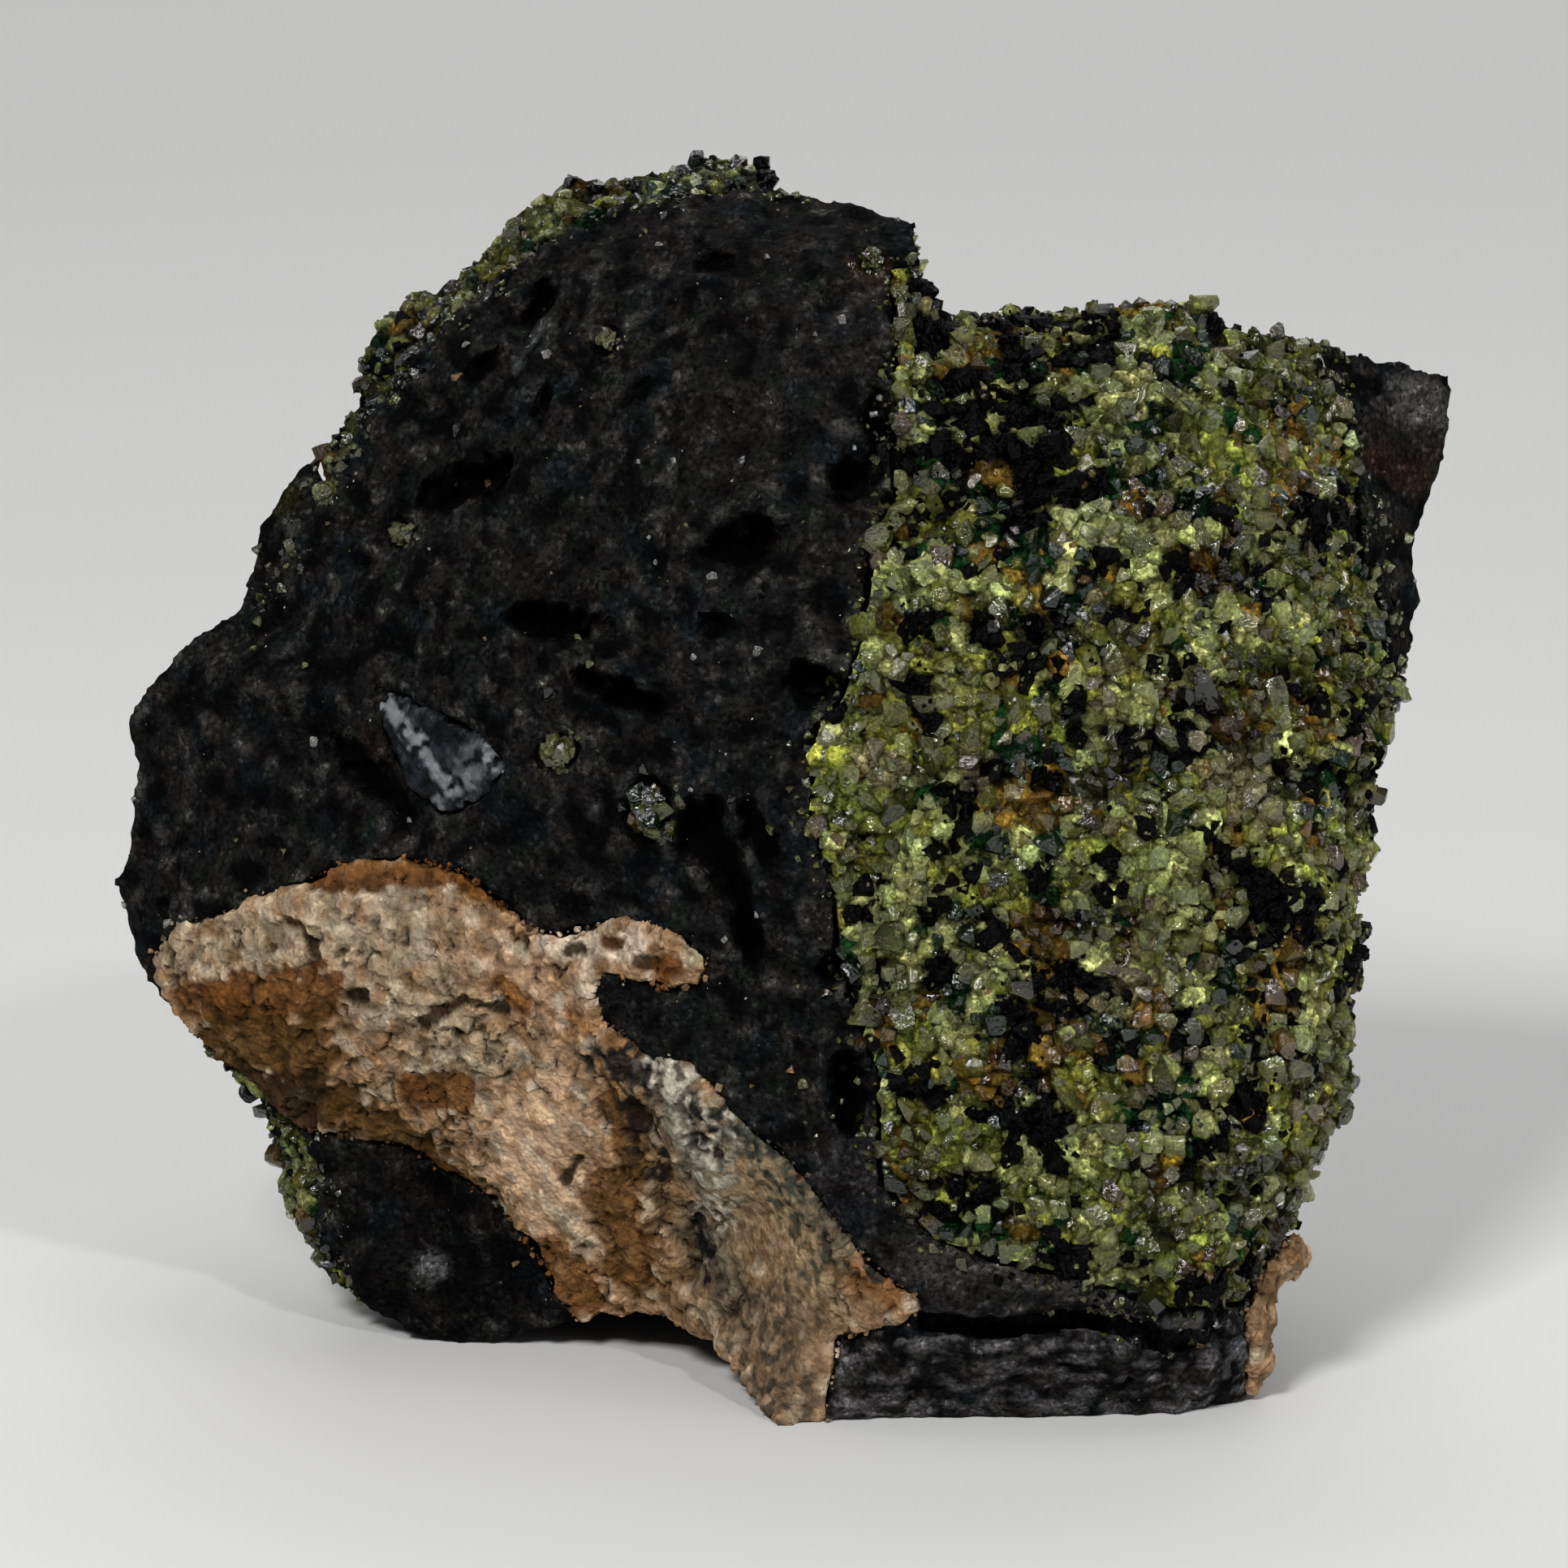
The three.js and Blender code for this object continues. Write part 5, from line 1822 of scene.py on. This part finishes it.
FLECKS = (
    Patch(-11.2, -16.6, 1.3, SLATE, 1.0, (3.4, -1.4)),
    Patch(-9.6, -18.6, 1.2, from_screen(34, 28, 22), 1.0, (2.0, -5.6)),
    Patch(-7.0, -17.6, 1.4, CHALK, 1.0, (3.4, -4.2)),
    Patch(-4.0, -22.4, 1.0, CHALK, 1.0, (0.2, -4.4)),
    Patch(-5.2, -19.7, 0.8, SLATE, 1.0, (1.2, -3.0)),
    Patch(-5.4, -25.8, 0.9, SLATE, 1.0, (1.0, -4.6)),
    Patch(-3.6, -19.4, 1.3, from_screen(36, 38, 34), 1.0, (8.4, -10.6)),
    Patch(-2.0, -22.4, 1.6, from_screen(64, 66, 54), 0.9, (4.6, -7.6)),
    Patch(-2.2, -25.0, 2.2, from_screen(150, 128, 98), 0.8, (4.4, -6.0)),
    Patch(-1.0, -32.6, 2.0, from_screen(58, 52, 44), 0.8, (0.8, -6.0)),
)


@dataclass
class LimeCrust:
    """A powdery crust of lime, cream above and rusty below.

    Attributes:
        node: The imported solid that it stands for.
        groups: The shared effects.
        voxel: The size of its faces in millimetres.
        swell: How much thicker it is than its solid, in millimetres.
        hollow_rounds: How often it is evened out to find its hollows.
        crumb_count: How many crumbs lie along its edge.
        seed: Where their random numbers start.
        bulge: Where it stands out, smooth and pale.
        thin_part: Where it is thin and level.
        arm: Its narrow arm.
        fold: The fold between the thick and the thin part.
    """

    node: str
    groups: ShaderGroups
    voxel: float = 0.21
    swell: float = 0.4
    hollow_rounds: int = 16
    crumb_count: int = 700
    seed: int = 31
    bulge: Patch = Patch(-15.0, -21.6, 2.6, TAN, 0.9, (0.8, -3.0))
    thin_part: Patch = Patch(-2.0, -21.0, 2.2, TAN, 1.0, (3.6, -16.0))
    arm: Patch = Patch(-13.8, -9.8, 1.6, TAN, 1.0, (7.4, -1.0))
    fold: Patch = Patch(-8.8, -20.6, 1.0, TAN, 1.0, (3.4, -9.4))

    def build(self, bed: BVHTree) -> list[bpy.types.Object]:
        """Builds the crust and the crumbs along its edge.

        Args:
            bed: The basalt under it.

        Returns:
            The two pieces.
        """
        mesh = fine_copy(self.node, self.voxel, bed)
        places, normals = vertex_places(mesh), vertex_normals(mesh)
        seen = VIEW.seen(places)
        crumpled = places + noise_at(places, 0.9, 84)[:, None] * 0.5 * MM
        lumps, flakes = Cells.at(crumpled, 1.5, 5.0), Cells.at(crumpled, 0.7, 9.0)
        broken = blotches(places, 1.6, 86, 5, -0.8)
        creases = np.clip(1 - lumps.edge / 0.14, 0, 1) * broken
        level = np.zeros(len(places))
        bulge = self.bulge.weight(seen, level)
        thin = self.thin_part.weight(seen, level)
        height = self.relief(places, lumps, flakes) - 0.3 * creases
        height *= 1 - np.maximum(0.85 * bulge, 0.75 * thin)
        height += self.swell * (1 - 0.7 * np.maximum(thin, self.arm.weight(seen, level)))
        height -= 0.26 * self.rustiness(places, seen)
        height += 0.35 * bulge - 0.5 * self.fold.weight(seen, level)
        move_vertices(mesh, places + normals * (height * MM)[:, None])
        piece = new_piece(f"{self.node}_surface", mesh, self.node)
        creases *= 1 - np.maximum(bulge, thin)
        tints = self.tints(places, creases, hollowness(mesh, self.hollow_rounds))
        paint(piece, tints)
        piece.data.materials.append(LIME_FINISH.build(self.groups))
        return [piece, self.crumbs(mesh, tints, bed)]

    @staticmethod
    def ragged(places: np.ndarray) -> np.ndarray:
        """Gives how uneven the edges of the patches are at rows of places."""
        return 0.7 * noise_at(places, 1.9, 51) + 0.6 * noise_at(places, 0.7, 52)

    def rustiness(self, places: np.ndarray, seen: np.ndarray) -> np.ndarray:
        """Finds how far each place lies in a rusty patch.

        Args:
            places: Rows of x, y and z.
            seen: Where they lie in the view.

        Returns:
            A number from 0 to 1 for each place.
        """
        ragged = self.ragged(places)
        rust = np.zeros(len(places))
        for patch in RUSTY_PATCHES:
            rust = np.maximum(rust, sharpened(patch.weight(seen, ragged)))
        return rust

    @staticmethod
    def relief(places: np.ndarray, lumps: Cells, flakes: Cells) -> np.ndarray:
        """Works out how high the crumbly surface stands.

        Args:
            places: Rows of x, y and z.
            lumps: The lumps it falls into.
            flakes: The small flakes on them.

        Returns:
            The height at each place, in millimetres.
        """
        height = 0.5 * noise_at(places, 3.6, 7) + 0.36 * noise_at(places, 1.4, 9)
        height += 0.16 * noise_at(places, 0.6, 10)
        height += 0.22 * lumps.facets() + 0.14 * np.clip(lumps.edge, 0, 0.3)
        return height + 0.08 * flakes.facets() + 0.06 * np.clip(flakes.edge, 0, 0.3) - 0.1

    def tints(self, places: np.ndarray, creases: np.ndarray, hollow: np.ndarray) -> np.ndarray:
        """Works out the crust's colour at each vertex.

        Args:
            places: Rows of x, y and z.
            creases: How far each place lies into a crease.
            hollow: How hollow the surface is, in millimetres.

        Returns:
            Rows of red, green and blue.
        """
        seen = VIEW.seen(places)
        shade = from_screen(130, 104, 76) * np.ones((len(places), 1))
        ragged = self.ragged(places)
        for patch in CREAM_PATCHES:
            shade = mix(shade, patch.colour, patch.weight(seen, ragged) * 0.95)
        pale = np.clip(shade[:, 0] * 12 - 1.8, 0, 1)
        chalky = blotches(places, 1.3, 61, 2.4, -0.2, 0.7)
        shade = mix(shade, from_screen(176, 162, 140), chalky * pale)
        warm = blotches(places, 1.0, 73, 3, -0.4, 0.7)
        shade = mix(shade, from_screen(120, 86, 50), warm * pale * 0.8)
        veins = 0.75 + 0.5 * blotches(places, 1.1, 75, 3, 0.5)
        for patch in RUSTY_PATCHES:
            shade = mix(shade, patch.colour, sharpened(patch.weight(seen, ragged)) * 0.92)
        shade *= veins[:, None]
        for i, patch in enumerate(FLECKS):
            spots = blotches(places, 0.62, 90 + i, 6, 0.4)
            shade = mix(shade, patch.colour, patch.weight(seen, ragged) * spots)
        # brown in the creases and hollows: partly the crust's own stain, partly painted shade
        shade = mix(shade, UMBER, np.clip(creases * 0.9, 0, 0.75))
        shade = mix(shade, UMBER, np.clip(hollow * 2.4 - 0.12, 0, 0.65))
        # painted shade in the hollows and painted light on the bumps
        return shade * np.clip(0.94 - hollow * 1.2, 0.35, 1.2)[:, None]

    def crumbs(self, mesh: bpy.types.Mesh, tints: np.ndarray, bed: BVHTree) -> bpy.types.Object:
        """Sets crumbs along the crust's edge, so that it ends raggedly.

        Args:
            mesh: The crust.
            tints: Its colours.
            bed: The basalt under it.

        Returns:
            The joined crumbs.
        """
        heap = CrystalHeap(self.seed)
        luck = heap.luck
        places = vertex_places(mesh)
        reach = 0.6 * MM
        near = [
            i for i, row in enumerate(places.tolist()) if bed.find_nearest(Vector(row), reach)[0]
        ]
        for _ in range(self.crumb_count if near else 0):
            i = luck.choice(near)
            place = Vector(places[i])
            surface = bed.find_nearest(place, 1.5 * MM)[0]
            aside = Vector([luck.gauss(0, 0.25) * MM for _ in range(3)])
            landed = bed.find_nearest(surface + aside, 3 * MM)
            radius = CRUMBS.chance(luck.random() ** 3) * MM
            shade = luck.uniform(0.75, 1.15)
            tint = tuple(float(value) * shade for value in tints[i])
            heap.add(landed[0] + landed[1] * radius * 0.2, radius, CRUMBS, tint)
        finish = LIME_FINISH.build(self.groups)
        return heap.finish(f"{self.node}_crumbs", None, "lime_crust", [finish])


@dataclass
class Feldspar:
    """A dark glassy crystal, broken in steps along its cleavage, with pale streaks.

    Attributes:
        groups: The shared effects.
        voxel: The size of its faces in millimetres.
        streak_start: Where its long pale streak starts in the view, in millimetres.
        streak_end: Where the streak ends.
        spots: Its pale spots and streaks.
    """

    groups: ShaderGroups
    voxel: float = 0.2
    streak_start: tuple[float, float] = (-25.2, 6.1)
    streak_end: tuple[float, float] = (-20.5, -0.3)
    spots: tuple[Patch, ...] = (
        Patch(-19.4, 0.9, 1.1, from_screen(74, 78, 80), 0.9, (0.8, 0.6)),
        Patch(-20.2, -0.6, 0.8, from_screen(84, 88, 90), 0.8, (0.8, 0.8)),
        Patch(-17.9, 0.9, 0.3, from_screen(112, 115, 118), 0.9, (-0.4, 1.2)),
        Patch(-21.4, -1.2, 0.4, from_screen(96, 99, 102), 0.9, (0.8, -0.8)),
        Patch(-25.2, 6.1, 0.42, from_screen(112, 116, 119), 1.0, (4.7, -6.4)),
        Patch(-25.0, 6.4, 0.5, from_screen(70, 74, 78), 0.8, (2.4, -1.6)),
    )

    def build(self, cover: BVHTree) -> list[bpy.types.Object]:
        """Builds the crystal.

        Args:
            cover: The stone that hides part of it.

        Returns:
            The one piece.
        """
        mesh = fine_copy("feldspar", self.voxel, cover)
        places, normals = vertex_places(mesh), vertex_normals(mesh)
        seen = VIEW.seen(places)
        along = np.subtract(self.streak_end, self.streak_start)
        aside = np.array([-along[1], along[0]]) / math.hypot(*along)
        across = (seen - np.array(self.streak_start)) @ aside
        steps = (np.floor(across * 1.3 + noise_at(places, 1.5) * 0.8) * 0.21) % 0.5
        height = steps + 0.14 * noise_at(places, 0.8, 3)
        move_vertices(mesh, places + normals * (height * MM)[:, None])
        piece = new_piece("feldspar_crystal", mesh, "feldspar")
        ragged = noise_at(places, 0.9, 8) * 0.9 + noise_at(places, 0.4, 9) * 0.5
        shade = from_screen(9, 11, 13) * np.ones((len(places), 1))
        shade = mix(shade, from_screen(28, 32, 37), blotches(places, 0.9, 17, 2, 0, 0.8))
        broken = blotches(places, 0.6, 33, 4, 0.7)
        for spot in self.spots:
            shade = mix(shade, spot.colour, spot.weight(seen, ragged) * broken)
        paint(piece, shade)
        piece.data.materials.append(FELDSPAR_FINISH.build(self.groups))
        return [piece]


@dataclass
class LooseGrain:
    """A small clump of peridot in the basalt.

    Attributes:
        number: The number in its solid's name.
        groups: The shared effects.
        kinds: The kinds of crystal in it.
        crystal_count: How many crystals fill it.
        rim_share: How many more sit round its rim, as a share of them.
        rim_shade: How bright those are beside the others.
    """

    number: int
    groups: ShaderGroups
    kinds: tuple[Grain, ...]
    crystal_count: int = 45
    rim_share: float = 0.5
    rim_shade: float = 0.6

    def build(self, bed: BVHTree) -> list[bpy.types.Object]:
        """Builds the clump from small crystals that fill its solid, with a few round its rim.

        Args:
            bed: The basalt it sits in.

        Returns:
            The one piece.
        """
        node = f"peridot_grain_{self.number}"
        faces = list(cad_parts[node].data.polygons)
        low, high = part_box(node)
        middle = (Vector(low) + Vector(high)) / 2
        reach = (Vector(high) - Vector(low)).length / 2
        heap = CrystalHeap(100 + self.number)
        luck = heap.luck
        for _ in range(self.crystal_count):
            face = luck.choice(faces)
            place = middle.lerp(Vector(face.center), luck.uniform(0.3, 0.8))
            shade = luck.uniform(0.25, 0.8)
            kind = luck.choice(self.kinds)
            tint = tuple(value * shade for value in kind.colour)
            radius = reach * luck.uniform(0.15, 0.32)
            # here and below, the way to the viewer as the tip's way gives each crystal painted
            # shade on its far side
            heap.add(place, radius, MEDIUM, tint, kind.coat, VIEW.towards_viewer)
            beside = middle.lerp(Vector(face.center), luck.uniform(0.9, 1.3))
            place = bed.find_nearest(beside + VIEW.towards_viewer * reach)[0]
            if luck.random() < self.rim_share:
                tint = tuple(value * self.rim_shade for value in tint)
                radius = reach * luck.uniform(0.06, 0.18)
                heap.add(place, radius, MEDIUM, tint, kind.coat, VIEW.towards_viewer)
        finishes = crystal_finishes(self.groups)
        return [heap.finish(f"{node}_crystals", node, "peridot", finishes)]


LOOSE_KINDS = (
    (Grain.OLIVE, Grain.LIME, Grain.AMBER, Grain.DIOPSIDE),
    (Grain.PALE, Grain.OLIVE),
    (Grain.PALE, Grain.OLIVE),
    (Grain.OLIVE, Grain.AMBER),
    (Grain.PALE, Grain.OLIVE),
    (Grain.AMBER, Grain.LIME),
)


@dataclass(frozen=True)
class SoftLight:
    """A square light. Its lengths are in metres.

    Attributes:
        name: Its name.
        place: Where it hangs.
        size: The length of its side.
        power: Its power in watts.
        aim: Where it points.
    """

    name: str
    place: tuple[float, float, float]
    size: float
    power: float
    aim: tuple[float, float, float] = (0, 0, 0.035)

    def hang(self) -> None:
        """Adds the light to the scene."""
        data = bpy.data.lights.new(self.name, "AREA")
        data.size = self.size
        data.energy = self.power
        light = bpy.data.objects.new(self.name, data)
        bpy.context.scene.collection.objects.link(light)
        light.location = self.place
        way = Vector(self.aim) - Vector(self.place)
        light.rotation_euler = way.to_track_quat("-Z", "Y").to_euler()


@dataclass
class Studio:
    """A pale floor, soft light and the camera.

    Attributes:
        floor_size: The length of the floor's side in metres.
        floor_colour: Its colour.
        sky_colour: The colour of the light from all around.
        sky_strength: How strong that light is.
        lights: The lights.
    """

    floor_size: float = 6.0
    floor_colour: Colour = (0.66, 0.66, 0.65)
    sky_colour: Colour = (0.9, 0.91, 0.93)
    sky_strength: float = 0.11
    lights: tuple[SoftLight, ...] = (
        SoftLight("key", place=(-0.26, -0.7, 0.62), size=0.2, power=6.9),
        SoftLight("fill", place=(0.9, -0.7, 0.45), size=0.9, power=2.4),
        SoftLight("sparkle", place=(0.35, -0.7, 0.7), size=0.06, power=2.0),
        SoftLight("top", place=(0.15, 0.1, 0.95), size=0.5, power=1.6),
        SoftLight("backdrop", place=(0, 2.4, 1.8), size=2.5, power=48.0, aim=(0, 2.2, 0)),
    )

    def build(self) -> None:
        """Builds the surroundings."""
        self.build_floor()
        for light in self.lights:
            light.hang()
        world = bpy.data.worlds.new("studio")
        bpy.context.scene.world = world
        world.use_nodes = True
        shine = world.node_tree.nodes["Background"]
        shine.inputs["Color"].default_value = (*self.sky_colour, 1)
        shine.inputs["Strength"].default_value = self.sky_strength
        bpy.context.scene.view_settings.view_transform = "Standard"
        self.build_camera()

    def build_floor(self) -> None:
        """Lays the floor."""
        shape = bmesh.new()
        bmesh.ops.create_grid(shape, x_segments=1, y_segments=1, size=self.floor_size / 2)
        mesh = bpy.data.meshes.new("floor")
        shape.to_mesh(mesh)
        shape.free()
        floor = bpy.data.objects.new("floor", mesh)
        bpy.context.scene.collection.objects.link(floor)
        values = {"Base Color": (*self.floor_colour, 1), "Roughness": 0.9}
        mesh.materials.append(new_material("floor", values))

    @staticmethod
    def build_camera() -> None:
        """Places the camera where the photograph was taken from."""
        data = bpy.data.cameras.new("camera")
        data.lens = data.sensor_width * VIEW.distance / VIEW.width
        camera = bpy.data.objects.new("camera", data)
        bpy.context.scene.collection.objects.link(camera)
        camera.location = VIEW.eye
        camera.rotation_euler = (-VIEW.towards_viewer).to_track_quat("-Z", "Y").to_euler()
        bpy.context.scene.camera = camera


def report(pieces: Iterable[bpy.types.Object]) -> None:
    """Logs each piece with its number of triangles.

    Args:
        pieces: The pieces.
    """
    for piece in pieces:
        triangles = len(piece.data.loops) - 2 * len(piece.data.polygons)
        log.info("%s: %d triangles", piece.name, triangles)


def main() -> None:
    """Builds the specimen and its surroundings."""
    logging.basicConfig(level=logging.INFO, format="%(relativeCreated)6d %(message)s")
    groups = ShaderGroups()
    cover = solid_tree("basalt", "lime_crust", "edge_crust")
    bed = solid_tree("basalt")
    others = ("peridot_front", "peridot_back", "lime_crust", "edge_crust", "feldspar")
    rock = Basalt(groups).build(solid_tree(*others))
    report(rock)
    front = Nodule("peridot_front", groups, FRONT_CLUSTERS)
    report(front.build(cover, rock[0]))
    back = Nodule(
        "peridot_back",
        groups,
        voxel=0.36,
        seed=8,
        share_of_tries=0.42,
        brightness=0.36,
        coarseness=0.82,
        deepest=-0.7,
        highest=-0.2,
        cloudiness=0.7,
        favoured={Grain.DIOPSIDE: 2.5, Grain.BLACK: 0.4, Grain.GREY: 0.3, Grain.MILKY: 0.5},
    )
    report(back.build(cover, rock[0]))
    report(LimeCrust("lime_crust", groups).build(bed))
    report(LimeCrust("edge_crust", groups, voxel=0.3, crumb_count=200).build(bed))
    report(Feldspar(groups).build(bed))
    rough_bed = mesh_tree(rock[0].data)
    for number, kinds in enumerate(LOOSE_KINDS, 1):
        report(LooseGrain(number, groups, kinds).build(rough_bed))
    Studio().build()


if __name__ == "__main__":
    main()
